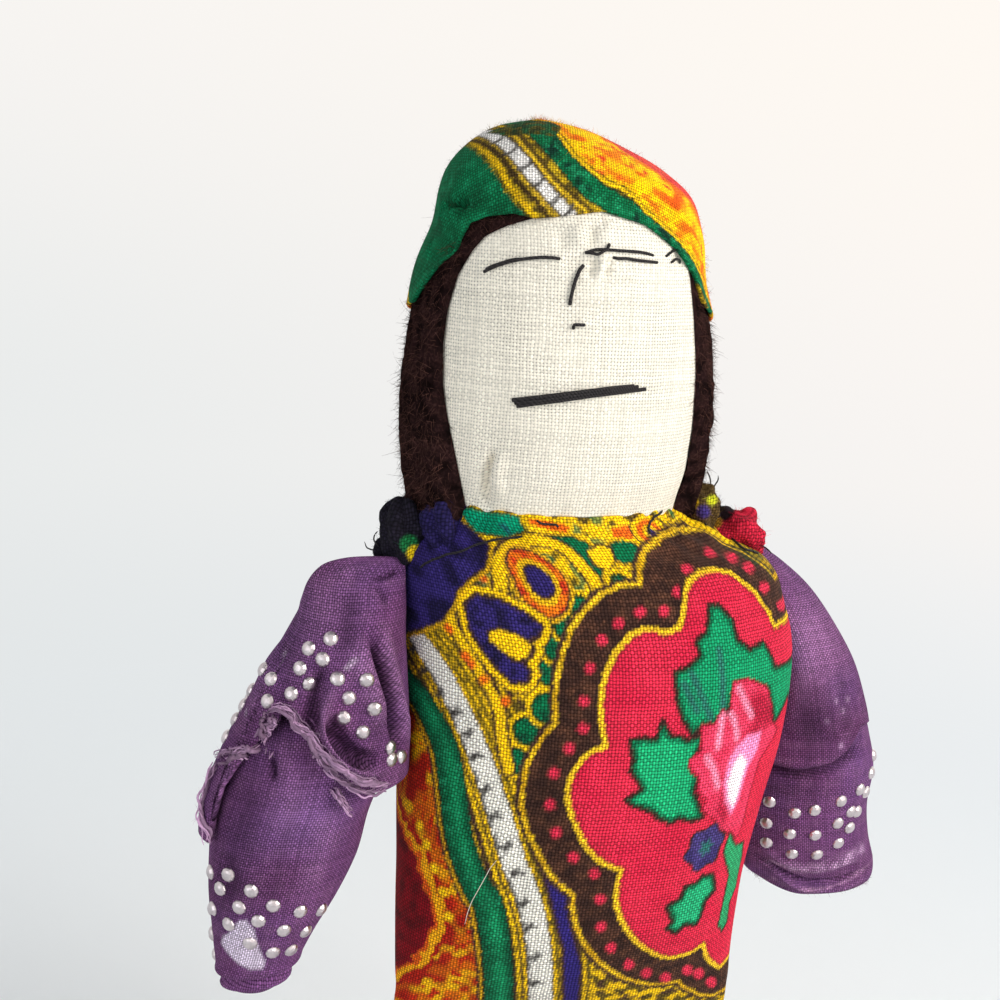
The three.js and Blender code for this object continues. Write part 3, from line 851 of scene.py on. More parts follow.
RIGHT_FOREARM = Form([
    (84.4, 0.0, 0.0, -52.4, 0), (85.2, 3.2, 2.2, -52.4, 0), (87.6, 5.6, 4.2, -52.2, 0),
    (92, 7.3, 6.0, -51.3, 0), (97, 8.9, 7.6, -50.3, 0), (103, 10.7, 8.8, -49.1, 0),
    (110, 12.1, 9.6, -47.7, 0), (117, 12.9, 10.0, -46.6, 0), (123.5, 13.2, 10.0, -44.8, 0),
    (130, 11.8, 9.0, -43.6, 0), (135, 8.0, 6.4, -42.8, 0), (137.5, 0.0, 0.0, -42.6, 0),
], 0, RIGHT_ARM_Y)

LEFT_SLEEVE = Form([
    (117.4, 12.8, 9.6, 48.0, 13.8), (119.0, 14.4, 11.0, 48.2, 13.8), (123, 15.0, 11.3, 47.8, 13.4),
    (130.5, 14.4, 10.9, 46.0, 12.2), (140, 13.0, 10.0, 43.0, 10.2), (151.5, 9.6, 8.5, 37.6, 7.8),
    (157.5, 6.8, 6.8, 33.6, 6.6), (160.6, 3.4, 4.2, 31.8, 6.0), (161.6, 0.0, 0.0, 31.6, 6.0),
])

LEFT_FOREARM = Form([
    (88.0, 0.0, 0.0, 55.6, 15.4), (88.6, 7.4, 1.2, 55.6, 15.4), (90.4, 11.6, 2.4, 55.4, 15.4),
    (92.6, 13.2, 3.8, 54.8, 15.4), (96, 13.6, 5.6, 54.0, 15.2), (102, 13.0, 7.6, 52.6, 14.8),
    (109, 13.2, 9.0, 51.0, 14.4), (116, 14.2, 9.6, 50.5, 14.2), (122, 14.2, 9.5, 49.2, 14.0),
    (127.5, 13.2, 8.8, 47.8, 13.6), (132.5, 9.0, 6.6, 45.8, 13.0), (135, 0.0, 0.0, 45.0, 12.8),
])

LEG_STATIONS = [
    (0.0, 6.6, 8.2, 0, -1.6), (0.6, 8.0, 10.0, 0, -1.6), (2.8, 9.6, 11.8, 0, -1.6),
    (6.5, 10.0, 12.0, 0, -1.6), (11, 9.8, 11.0, 0, -1.2), (18, 9.6, 9.9, 0, -0.6), (36, 10.4, 10.2, 0, 0),
    (52, 10.8, 10.4, 0, 0), (62, 11.6, 7.0, 0, 0), (68.6, 12.4, 2.6, 0, 0), (70.6, 12.4, 1.3, 0, 0),
]
LEG_ASIDE = 13.4


SEEN_NEAR = 3.5


class Cloth:
    """Cloth as a grid of points, rows up its side and columns round it, with its cloth coordinates."""

    def __init__(self, form, grid, closed=True, flat=None):
        self.form, self.grid, self.closed = form, grid, closed
        self.flat = form.flat(grid) if flat is None else flat

    def places(self):
        return self.flat.reshape(-1, 2)

    def push(self, amount):
        self.grid = push(self.grid, amount.reshape(self.grid.shape[:2]), self.closed)

    def crease(self, pixels, width, depth):
        """Pushes a fold along a line of pixels: in where the depth is negative, out where it is positive."""
        line = smooth_line(self.form.cast_flat(pixels))
        distance, fade = fading_line(self.places(), line, 4 * width, 0.25)
        self.push(depth * ridge(distance, width) * fade)

    def creases(self, folds):
        for pixels, width, depth in folds:
            self.crease(pixels, width, depth)

    def lumps(self, size, height, seed):
        self.push((noise(self.grid.reshape(-1, 3), size, seed) - 0.5) * 2 * height)

    def at_pixels(self, pixels):
        """The points that show at pixels, and their normals."""
        seen, depth = project(self.grid.reshape(-1, 3))
        normals = grid_normals(self.grid, self.closed).reshape(-1, 3)
        points = self.grid.reshape(-1, 3)
        found = []
        for pixel in np.asarray(pixels, float):
            gap = np.linalg.norm(seen - pixel, axis=1)
            near = np.flatnonzero(gap < max(SEEN_NEAR, gap.min() * 1.05))
            found.append(near[depth[near].argmin()])
        return points[found], normals[found]

    def build(self, name, tint=None, capped=(True, True), wraps=True):
        return grid_object(name, self.grid, self.flat, self.closed, tint, capped, wraps)


def form_cloth(form, heights, count, waist, front_weight=1.0):
    theta = form.columns(waist, count, front_weight)
    return Cloth(form, form.point(theta[None], heights[:, None]))


def rolled_edge(cloth, offsets, at_end=True):
    """Adds rows past an edge of the cloth, each with a shrink towards the form's middle and a rise."""
    row = -1 if at_end else 0
    edge, flat = cloth.grid[row], cloth.flat[row]
    middle = edge.mean(0)
    outward = edge - middle
    outward[:, 2] = 0
    outward = unit_rows(outward)
    grids, flats = [], []
    length = 0.0
    last = np.zeros(2)
    for shrink, rise in offsets:
        length += math.hypot(shrink - last[0], rise - last[1])
        last = np.array([shrink, rise])
        grids.append(edge - outward * shrink + [0, 0, rise])
        flats.append(flat + [0, length if at_end else -length])
    if at_end:
        cloth.grid = np.concatenate([cloth.grid, grids])
        cloth.flat = np.concatenate([cloth.flat, flats])
    else:
        cloth.grid = np.concatenate([grids[::-1], cloth.grid])
        cloth.flat = np.concatenate([flats[::-1], cloth.flat])


def dress(obj, body, material, nodes=()):
    """Gives a piece its material and its body, and hides the imported nodes that it stands for."""
    obj.data.materials.append(material)
    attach(obj, body)
    if nodes:
        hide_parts(*nodes)
    return obj


# The body sack

BODY_ROWS = 226
BODY_COLUMNS = 424
BODY_FOOT = HIP - 1.2
BODY_WAIST = 120
BODY_FRONT_SHARE = 1.6
NECK_PLEATS = 23
NECK_PLEAT_DEPTH = 0.34
NECK_PLEAT_REACH = 7.5
NECK_GROOVE = 5.5
NECK_GROOVE_DEPTH = 0.35
HIP_SEAM = 3.2
HIP_PUCKERS = 1.9
HIP_PUCKER_DEPTH = 0.16
BACK_PUCKERS = 1.4
BACK_PUCKER_DEPTH = 0.12
SEAM_DEPTH = 0.3
BACK_SEAM_DEPTH = 0.55
NECK_ROLL = [(0.12, 0.3), (0.45, 0.42), (0.8, 0.2), (0.95, -0.5), (1.0, -2.4)]
BODY_FOLDS = [
    ([(462, 512), (478, 531), (506, 536), (526, 529)], 0.7, -0.5),
    ([(470, 503), (490, 520), (520, 521)], 1.3, 0.5),
    ([(690, 509), (678, 540), (668, 566)], 0.8, -0.4),
    ([(640, 520), (652, 532), (668, 540)], 0.7, -0.3),
]


def shape_body():
    rows = BODY.rows(BODY_FOOT, NECK, BODY_ROWS)
    cloth = form_cloth(BODY, rows, BODY_COLUMNS, BODY_WAIST, BODY_FRONT_SHARE)
    around, height = cloth.flat[..., 0], cloth.grid[..., 2]
    cloth.lumps(size=17, height=0.55, seed=11)
    theta = BODY.angle(cloth.grid)
    wander = 1.4 * np.sin(theta * 3 + 1) + 0.8 * np.sin(theta * 7)
    pleats = np.sin(theta * NECK_PLEATS + wander) * ridge(NECK + 1 - height, NECK_PLEAT_REACH)
    cloth.push(NECK_PLEAT_DEPTH * pleats - NECK_GROOVE_DEPTH * ridge(height - (NECK - NECK_GROOVE), 0.9))
    puckers = HIP_PUCKER_DEPTH * np.sin(around * HIP_PUCKERS) * ridge(height - HIP - 5, 5)
    cloth.push(-SEAM_DEPTH * ridge(height - HIP - HIP_SEAM, 0.8) + puckers)
    back = np.abs(around) - np.abs(around[:, :1])
    puckers = BACK_PUCKER_DEPTH * np.sin(height * BACK_PUCKERS) * ridge(back, 4)
    cloth.push(-BACK_SEAM_DEPTH * ridge(back, 0.7) + puckers)
    cloth.creases(BODY_FOLDS)
    rolled_edge(cloth, NECK_ROLL)
    return cloth


# The body's print, painted on its cloth coordinates. Its right and left sides repeat it in a mirror.

PRINT_MIRROR_LEFT = -46
PRINT_MIRROR_RIGHT = 36.5
MEDALLION_AXIS = 36.5

RIBBON = [
    (410, 629), (424, 650), (444, 682), (468, 733), (487, 780), (502, 826), (515, 866), (529, 902),
    (538, 948), (540, 999),
]
RIBBON_ENDS = [(-50, 162), (-5.4, 66)]
RIBBON_REACH = 14
RIBBON_TICKS = [
    (412, 648), (424, 670), (439, 693), (456, 713), (468, 733), (477, 757), (485, 789), (496, 817),
    (507, 846), (518, 873), (524, 902), (531, 927), (536, 956), (537, 982),
]
GREEN_BAND = [
    (401, 667), (420, 700), (441, 740), (451, 780), (460, 841), (480, 890), (489, 902), (497, 948),
    (499, 999),
]
GREEN_BAND_ENDS = [(-50, 152), (-12.6, 66)]
GREEN_BAND_REACH = 40
FLAME_CORE = [
    (380, 800), (400, 828), (415, 856), (420, 878), (430, 902), (430, 925), (417, 948), (409, 958),
    (395, 964), (372, 968),
]
FLAME_DOTS = [(427, 845), (435, 868), (444, 891), (449, 915), (420, 826)]
NAVY_WEDGE = [
    (542, 866), (556, 876), (570, 887), (571, 933), (580, 964), (577, 999), (565, 999), (564, 948),
    (551, 895),
]
NAVY_PATCH = [
    (400, 634), (418, 629), (440, 620), (450, 606), (456, 590), (468, 578), (484, 566), (488, 545),
    (470, 528), (458, 500),
]
NAVY_PATCH_BACK = [(-34, 176), (-62, 176), (-62, 150)]
TEAL_FOLD = [(458, 493), (484, 498), (525, 513), (525, 530), (506, 537), (477, 532), (464, 512)]
TEAL_FOLD_TOP = [(-24, 178), (-8, 178)]
YELLOW_EDGE = [(446, 606), (452, 625), (465, 650), (478, 672), (492, 695), (499, 715), (502, 740), (508, 770)]
ORANGE_SPOTS = [(448, 629), (465, 657), (471, 664), (483, 680), (505, 702), (457, 588), (482, 577)]
NAVY_HOOK = [
    (466, 604), (477, 597), (497, 601), (523, 614), (540, 626), (537, 635), (525, 638), (511, 633),
    (494, 630), (487, 633), (489, 643), (500, 652), (511, 663), (523, 666), (529, 673), (525, 681),
    (512, 681), (497, 667), (483, 650), (471, 630),
]
HOOK_CORE = [
    (488, 632), (497, 629), (512, 633), (526, 640), (532, 647), (529, 656), (520, 661), (511, 658),
    (500, 650), (489, 641),
]
DROP_CENTRE = (540, 581)
DROP_TAIL = [(531, 597), (550, 595), (547, 608), (541, 619), (536, 610)]
DROP_ARCH = [(498, 604), (500, 566), (516, 545), (537, 540), (564, 549), (588, 573), (598, 588)]
GREEN_LEAVES = [
    [
        (547, 537), (570, 538), (586, 544), (592, 556), (600, 570), (600, 580), (584, 569), (566, 553),
        (550, 545),
    ],
    [(612, 545), (625, 541), (634, 547), (636, 558), (624, 563), (613, 556)],
]
YELLOW_SPOT = [(588, 551), (600, 545), (610, 549), (615, 561), (606, 570), (594, 564)]
ORANGE_PATCHES = [
    [(530, 516), (550, 521), (570, 527), (566, 533), (545, 529), (530, 524)],
    [(610, 530), (630, 524), (650, 521), (648, 534), (630, 540), (612, 539)],
    [(656, 548), (672, 540), (680, 548), (672, 562), (660, 562)],
]
SMALL_DROP_CENTRE = (651, 534)
BEADS = [
    (516, 761, 2.1), (526, 731, 2.2), (546, 708, 2.4), (551, 673, 2.2), (554, 647, 2.1), (565, 627, 1.9),
    (581, 607, 1.8), (601, 596, 1.7), (622, 583, 1.6), (643, 583, 1.4), (649, 570, 1.4), (664, 561, 1.3),
]
SIDE_STRIP = [(735, 532), (752, 545), (768, 562), (782, 582), (792, 602)]
MEDALLION = [
    (792, 623), (776, 626), (772, 614), (766, 606), (756, 592), (742, 581), (728, 572), (714, 570),
    (700, 573), (689, 581), (685, 592), (684, 606), (682, 618), (678, 629), (666, 633), (654, 629),
    (643, 629), (632, 634), (623, 643), (614, 655), (608, 669), (603, 684), (601, 699), (601, 715),
    (603, 731), (606, 746), (591, 751), (582, 759), (575, 770), (570, 779), (568, 789), (567, 798),
    (569, 806), (573, 818), (578, 829), (583, 840), (589, 850), (596, 857), (604, 863), (621, 870),
    (618, 878), (617, 887), (616, 899), (618, 910), (621, 920), (627, 930), (634, 939), (643, 947),
    (652, 953), (661, 957), (670, 959), (679, 957), (692, 953), (704, 944), (706, 954), (710, 962),
    (719, 967), (727, 957),
]
MEDALLION_DOTS = [
    (710, 552), (732, 558), (749, 567), (766, 587), (784, 605), (687, 570), (677, 592), (664, 611),
    (640, 612), (619, 623), (602, 640), (590, 668), (584, 701), (583, 728), (569, 748), (554, 773),
    (550, 804), (556, 832), (573, 856), (594, 873), (600, 899), (601, 927), (611, 948), (629, 965),
    (647, 974), (666, 979), (688, 971), (699, 974), (711, 982),
]
DOT_TURNS = np.arange(12) / 12 * TURN
DOT_PIXELS = 5.0
SHOULDER_SHADE = (748, 548)
UPPER_LEAF = [
    (709, 606), (719, 606), (732, 620), (738, 640), (751, 650), (765, 642), (771, 652), (776, 668),
    (792, 658), (788, 690), (781, 709), (774, 721), (769, 689), (752, 683), (736, 684), (731, 706),
    (716, 724), (704, 726), (694, 736), (684, 719), (678, 699), (675, 673), (688, 668), (701, 656),
    (696, 641), (706, 633), (709, 618),
]
UPPER_VEINS = [
    [(719, 650), (723, 680), (724, 710)], [(692, 674), (702, 696), (712, 718)], [(684, 684), (698, 712)],
]
SIDE_LEAF = [
    (663, 722), (657, 741), (643, 739), (631, 741), (634, 761), (631, 769), (637, 779), (643, 789),
    (626, 800), (634, 805), (652, 811), (658, 817), (670, 822), (679, 817), (690, 820), (702, 817),
    (698, 806), (693, 791), (698, 780), (692, 765), (701, 747), (706, 735), (690, 742), (680, 738),
    (672, 738),
]
ROSE = [
    (735, 684), (748, 680), (767, 688), (770, 706), (770, 722), (776, 730), (768, 745), (759, 760),
    (751, 790), (744, 821), (738, 836), (730, 830), (721, 830), (715, 818), (702, 809), (707, 800),
    (698, 790), (701, 777), (692, 769), (691, 762), (704, 751), (704, 727), (716, 726), (724, 711),
    (732, 721), (733, 700),
]
ROSE_SHADES = [
    [(750, 694), (766, 692), (771, 706), (770, 726), (758, 724), (748, 712)],
    [(744, 733), (757, 722), (766, 728), (756, 738)],
    [(722, 790), (728, 812), (722, 826), (714, 812)],
]
ROSE_LIGHTS = [
    [(740, 688), (745, 700), (752, 716)], [(724, 716), (722, 730), (719, 748)],
    [(732, 714), (736, 724), (738, 738)],
    [(708, 758), (714, 770), (718, 786)],
]
ROSE_GLOSS = [
    (760, 733), (748, 737), (738, 747), (730, 763), (725, 782), (726, 800), (731, 813), (738, 800),
    (743, 783), (748, 766), (757, 749),
]
ROSE_GLEAM = [(741, 756), (734, 767), (729, 782), (729, 797), (733, 806), (738, 791), (742, 775), (746, 763)]
BERRY_CENTRE = (705, 847)
LOWER_LEAF = [
    (713, 875), (715, 890), (705, 901), (701, 916), (695, 925), (685, 924), (676, 933), (667, 928),
    (673, 921), (667, 907), (681, 898), (685, 887), (698, 882), (702, 876),
]
STEM = [
    (730, 833), (724, 852), (730, 875), (725, 898), (719, 925), (722, 931), (727, 922), (730, 902),
    (736, 887), (742, 858), (744, 843), (736, 846),
]


def print_flat(flat):
    """Cloth coordinates brought into the part of the print that is drawn."""
    s = np.where(flat[:, 0] > PRINT_MIRROR_RIGHT, 2 * MEDALLION_AXIS - flat[:, 0], flat[:, 0])
    s = np.where(s < PRINT_MIRROR_LEFT, 2 * PRINT_MIRROR_LEFT - s, s)
    return np.stack([s, flat[:, 1]], 1)


def bouquet_flat(flat):
    s = flat[:, 0]
    return np.stack([np.where(s > PRINT_MIRROR_RIGHT, 2 * PRINT_MIRROR_RIGHT - s, s), flat[:, 1]], 1)


def run_on(line, start, end):
    """A line with a point added before it and one after it."""
    return smooth_line(np.vstack([start, line, end]))


def medallion_outline():
    left = BODY.cast_flat(MEDALLION)
    left = left[left[:, 0] <= MEDALLION_AXIS]
    right = left[::-1] * [-1, 1] + [2 * MEDALLION_AXIS, 0]
    return np.vstack([left, right])


def paint_ground(c):
    c.mottle(0.9, YELLOW, 1.15, 71, 0.5, 0.2)
    c.mottle(0.9, BROWN, 0.9, 72, 0.3, 0.2)
    upper = ramp(c.flat[:, 1], 154, 160)
    c.mottle(upper, YELLOW, 1.5, 73, 0.62, 0.15)
    c.mottle(0.8 * upper, GREEN, 1.9, 74, 0.34, 0.12)


def paint_flames(c, green):
    left = np.clip(-2.6 - green, 0, 1)
    c.put(left, (196, 96, 12))
    c.mottle(left, (150, 26, 14), 3.0, 75, 0.5, 0.3)
    c.mottle(left, (224, 168, 14), 2.4, 76, 0.36, 0.2)
    c.mottle(left, (176, 40, 16), 1.0, 89, 0.3, 0.3)
    core = c.outline(FLAME_CORE, 8)
    tongue = core + 1.6 * (noise(c.flat, 1.5, 90) - 0.5)
    c.band(tongue, 3.0, 4.2, (160, 30, 16))
    c.band(tongue, 1.5, 3.0, (226, 158, 16))
    c.band(tongue, 0.5, 1.5, (206, 84, 20))
    c.area(tongue - 0.5, DEEP_RED)
    c.mottle(c.cover(core), (88, 8, 16), 2.0, 99, 0.4, 0.4)
    c.spots(FLAME_DOTS, 0.9, YELLOW)


def paint_green_band(c, green):
    c.band(green, -3.9, -3.4, BROWN)
    c.band(green, -3.4, -2.9, OCHRE)
    c.band(green, -2.9, 2.6, (34, 40, 22))
    c.band(green, -2.45, 2.35, GREEN)
    inside = c.cover(np.abs(green) - 2.3)
    c.put(0.8 * inside * ridge(green - 0.5, 1.1), (20, 138, 88))
    c.mottle(0.5 * inside, DARK_GREEN, 3.0, 77, 0.4, 0.6)
    c.put(0.7 * inside * ridge(np.abs(green) - 2.2, 0.9), DARK_GREEN)
    c.mottle(0.4 * inside, (40, 158, 108), 0.7, 78, 0.25, 0.3)


def paint_ribbon(c, ribbon):
    right = c.cover(-ribbon) * c.cover(ribbon - 9)
    stripes = np.clip(0.25 + 0.75 * np.cos((ribbon - 2.5) * TURN / 1.25), 0, 1)
    c.put(0.85 * right, OLIVE)
    c.mottle(right * stripes, YELLOW, 0.75, 79, 0.74, 0.3)
    c.band(ribbon, -4.9, -1.6, BROWN)
    c.band(ribbon, -2.75, -2.2, YELLOW)
    c.band(ribbon, -3.9, -3.2, YELLOW)
    c.mottle(0.6 * c.cover(np.abs(ribbon + 3) - 1.6), OLIVE, 0.7, 80, 0.4, 0.2)
    c.band(ribbon, -2.05, 2.25, (70, 62, 52))
    c.band(ribbon, -1.75, 1.85, WHITE)


TICK_TONE = (62, 58, 56)
TICK_MARKS = [
    (-0.9, -0.5, 0.46), (-0.4, -0.15, 0.5), (0.1, 0.1, 0.42), (0.55, 0.35, 0.3), (0.0, 0.7, 0.26),
    (-0.3, -0.75, 0.26), (0.95, 0.1, 0.2),
]


def paint_ticks(c, ribbon):
    for k, spot in enumerate(c.draw(RIBBON_TICKS)):
        for n, (across, up, reach) in enumerate(TICK_MARKS):
            shift = 0.25 * math.sin(3.1 * k + 1.7 * n)
            c.spot(spot + [across + shift, up - shift], reach, TICK_TONE, 0.3)
    c.put(0.8 * (ridge(ribbon + 1.75, 0.35) * c.patches(0.9, 81, 0.45)), TICK_TONE)


def paint_hook(c):
    c.stroke(YELLOW_EDGE, (2.7, BROWN), (1.7, YELLOW))
    hook = c.outline(NAVY_HOOK)
    core = c.outline(HOOK_CORE)
    c.ringed(np.minimum(hook, core), NAVY, (2.1, BROWN), (1.75, YELLOW), (0.75, BROWN))
    c.area(hook - 0.1, NAVY)
    c.mottle(c.cover(hook), (30, 24, 60), 1.2, 82, 0.4, 0.2)
    c.area(core - 0.25, BROWN)
    c.area(core + 0.1, YELLOW)
    c.spots(ORANGE_SPOTS, 0.8, ORANGE)


def paint_drop(c):
    c.stroke(DROP_ARCH, (3.0, BROWN), (2.1, YELLOW))
    tail = c.outline(DROP_TAIL)
    core = c.away(DROP_CENTRE, [1.12, 0.82]) - 2.1
    c.ringed(np.minimum(core - 2.5, tail), (228, 112, 20), (0.9, (222, 168, 24)), (0.4, BROWN))
    c.mottle(c.cover(core - 2.5) * c.cover(1.1 - core), (188, 48, 24), 1.1, 83, 0.45, 0.2)
    c.ringed(core, NAVY, (1.25, (226, 176, 22)), (0.4, BROWN))
    small = c.away(SMALL_DROP_CENTRE) - 0.9
    c.ringed(small, NAVY, (3.0, BROWN), (2.6, YELLOW), (1.7, ORANGE), (0.7, YELLOW))


def paint_small_motifs(c):
    for leaf in GREEN_LEAVES:
        c.ringed(c.outline(leaf), GREEN, (0.9, OCHRE), (0.35, DARK_GREEN))
    c.ringed(c.outline(YELLOW_SPOT), YELLOW, (0.4, BROWN))
    for patch in ORANGE_PATCHES:
        c.ringed(c.outline(patch), ORANGE, (0.5, YELLOW))
    for x, y, reach in BEADS:
        bead = c.away((x, y), [1, 0.94]) - reach
        c.ringed(bead + 0.35, GREEN, (1.15, YELLOW), (0.5, (36, 58, 26)))
        c.mottle(c.cover(bead + 0.3), DARK_GREEN, 0.8, 84, 0.35, 0.3)
    c.stroke(SIDE_STRIP, (3.6, OCHRE), (2.2, DARK_GREEN), (1.6, GREEN))


def paint_neck_edge(c):
    patch = np.vstack([c.draw(NAVY_PATCH), NAVY_PATCH_BACK])
    navy = outline_distance(c.flat, patch)
    c.ringed(navy, NAVY, (0.9, OCHRE), (0.35, BROWN))
    c.mottle(c.cover(navy), (26, 20, 58), 2.6, 85, 0.4, 0.3)
    folded = c.draw(TEAL_FOLD)
    ring = [TEAL_FOLD_TOP[0], folded[0], *folded[:0:-1], TEAL_FOLD_TOP[1]]
    teal = outline_distance(c.flat, np.array(ring))
    c.area(teal - 0.3, OLIVE)
    c.area(teal, (0, 132, 96))
    c.mottle(0.8 * c.cover(teal), (24, 60, 84), 1.6, 86, 0.24, 0.2)


PRINT_DARK = (58, 34, 30)
VEIN = (44, 88, 92)
LEAF_TONES = ((UPPER_LEAF, (16, 140, 92)), (SIDE_LEAF, (26, 156, 102)), (LOWER_LEAF, (34, 160, 108)))


def paint_rose(c):
    rose = c.outline(ROSE)
    c.ringed(rose, (226, 60, 92), (0.45, (150, 24, 44)))
    c.mottle(0.5 * c.cover(rose), (206, 36, 68), 1.6, 86, 0.45, 0.4)
    for shade in ROSE_SHADES:
        c.put(0.8 * soft_cover(c.outline(shade), 1.4), (150, 16, 44))
    for light in ROSE_LIGHTS:
        c.put(0.75 * soft_cover(np.abs(c.line(light, 4)), 0.8, 1.2), (244, 150, 180))
    for outline, tone in ((ROSE_GLOSS, (242, 140, 188)), (ROSE_GLEAM, (255, 246, 250))):
        c.put(0.92 * soft_cover(c.outline(outline), 0.9, 0.7), tone)


def paint_bouquet(flat):
    c = Canvas(bouquet_flat(flat), RED, BODY.cast_flat, seed=3)
    c.mottle(0.55, CRIMSON, 3.2, 87, 0.4, 0.5)
    for leaf, tone in LEAF_TONES:
        distance = c.outline(leaf)
        c.ringed(distance + 0.15, LEAF_EDGE, (0.7, PRINT_DARK))
        c.area(distance + 0.75, tone)
    for vein in UPPER_VEINS:
        c.put(0.75 * soft_cover(np.abs(c.line(vein, 4)), 0.75, 1.3), VEIN)
    c.ringed(c.outline(STEM) + 0.1, (44, 150, 96), (0.5, PRINT_DARK))
    paint_rose(c)
    away = c.flat - c.draw([BERRY_CENTRE])[0]
    berry = c.away(BERRY_CENTRE) - 3.8 - 0.4 * np.sin(6 * np.arctan2(*away.T))
    c.ringed(berry, (66, 54, 110), (0.45, PRINT_DARK))
    c.mottle(0.6 * c.cover(berry), (44, 36, 84), 1.3, 90, 0.4, 0.3)
    c.put(0.8 * soft_cover(berry + 2.6, 0.8), (30, 110, 90))
    return c.colour


def paint_medallion(c, flat):
    edge = outline_distance(c.flat, medallion_outline(), 10)
    c.band(edge, 7.6, 8.3, BROWN)
    c.band(edge, 6.8, 7.6, OCHRE)
    c.mottle(c.cover(np.abs(edge - 7.2) - 0.4), (226, 182, 30), 1.4, 88, 0.55, 0.3)
    c.area(edge - 6.8, DARK_BROWN)
    c.mottle(0.6 * c.cover(edge - 6.6), (92, 58, 42), 0.8, 89, 0.42, 0.3)
    c.mottle(0.6 * c.cover(edge - 6.6), (38, 24, 22), 1.1, 79, 0.4, 0.3)
    for spot in MEDALLION_DOTS:
        ring = np.stack([np.cos(DOT_TURNS), np.sin(DOT_TURNS)], -1) * DOT_PIXELS + spot
        c.put(soft_cover(c.outline(ring, 2), 0.6, 0.6), DOT_RED)
    c.band(edge, -0.45, 0.95, (52, 34, 28))
    c.band(edge, -0.4, 0.45, (230, 184, 34))
    away = (c.flat - c.draw([SHOULDER_SHADE])[0]) / (9, 4)
    shade = np.exp(-np.sum(away**2, 1)) * c.patches(1.2, 78, 0.4) * c.cover(5.4 - edge)
    c.put(0.8 * shade, (38, 62, 36))
    bouquet = paint_bouquet(flat)
    inside = c.cover(edge + 0.45)[:, None]
    c.colour += inside * (bouquet - c.colour)
    c.put(0.45 * c.cover(edge + 0.4) * ridge(edge + 0.6, 0.5), (120, 16, 30))


def paint_body(cloth):
    flat = cloth.places()
    c = Canvas(print_flat(flat), OLIVE, BODY.cast_flat)
    green_line = run_on(c.draw(GREEN_BAND), *GREEN_BAND_ENDS)
    ribbon_line = run_on(c.draw(RIBBON), *RIBBON_ENDS)
    green = line_distance(c.flat, green_line, GREEN_BAND_REACH)[0]
    ribbon = line_distance(c.flat, ribbon_line, RIBBON_REACH)[0]
    paint_ground(c)
    paint_flames(c, green)
    paint_ribbon(c, ribbon)
    paint_green_band(c, green)
    c.band(ribbon, -1.9, 2.0, WHITE)
    paint_ticks(c, ribbon)
    c.ringed(c.outline(NAVY_WEDGE), (44, 34, 104), (0.6, BROWN))
    paint_small_motifs(c)
    paint_drop(c)
    paint_hook(c)
    paint_medallion(c, flat)
    paint_neck_edge(c)
    return c.colour


# The head

HEAD_ROWS = 170
HEAD_COLUMNS = 300
HEAD_FOOT = 158
HEAD_TOP = 227.9
HEAD_WAIST = 196
HEAD_FRONT_SHARE = 1.7
FACE_FOLDS = [
    ([(494, 448), (488, 468), (485, 486), (487, 508)], 0.7, -1.7),
    ([(503, 452), (497, 472), (499, 500)], 1.0, 0.6),
    ([(560, 262), (574, 262), (586, 256)], 0.7, -0.4),
    ([(600, 252), (602, 262), (597, 276)], 0.7, 0.9),
    ([(592, 256), (592, 268), (588, 280)], 0.6, -0.7),
    ([(606, 256), (609, 268), (604, 280)], 0.6, -0.6),
    ([(604, 262), (618, 272), (640, 276)], 0.8, 0.5),
    ([(592, 250), (590, 236), (596, 222)], 0.9, -0.6),
    ([(584, 250), (578, 236), (578, 222)], 1.0, 0.6),
    ([(602, 246), (604, 234), (612, 222)], 1.0, 0.5),
    ([(566, 250), (560, 238), (558, 226)], 0.9, -0.4),
    ([(566, 300), (560, 320), (558, 340)], 1.4, -0.2),
    ([(672, 250), (680, 262), (684, 282)], 0.6, -0.4),
]


def shape_head():
    rows = HEAD.rows(HEAD_FOOT, HEAD_TOP, HEAD_ROWS)
    cloth = form_cloth(HEAD, rows, HEAD_COLUMNS, HEAD_WAIST, HEAD_FRONT_SHARE)
    cloth.lumps(size=15, height=0.3, seed=21)
    cloth.creases(FACE_FOLDS)
    return cloth


# The hair

HAIR_ROWS = 130
HAIR_COLUMNS = 260
HAIR_FOOT = 167.4
HAIR_TOP = 222
HAIR_OVER_SKIN = 0.6
HAIR_EDGE_ROLL = 1.6
HAIR_FOOT_ROLL = 1.4
HAIR_UNDER_CAP = 219
HAIR_EDGE_CROWDING = 0.06
HAIR_EDGE_LEFT = [
    (536, 217), (508, 225), (484, 236), (470, 252), (456, 276), (447, 305), (442, 343), (442, 385),
    (451, 440), (458, 478), (464, 508),
]
HAIR_EDGE_RIGHT = [
    (655, 226), (674, 242), (690, 262), (697, 340), (697, 400), (692, 450), (686, 480), (678, 506),
]


def hair_edge(pixels, z):
    """Angle of the hair's edge beside the face at each height."""
    angle, height = HEAD.grown(HAIR_OVER_SKIN).cast_angle(pixels)
    order = np.argsort(height)
    return np.interp(z, height[order], angle[order])


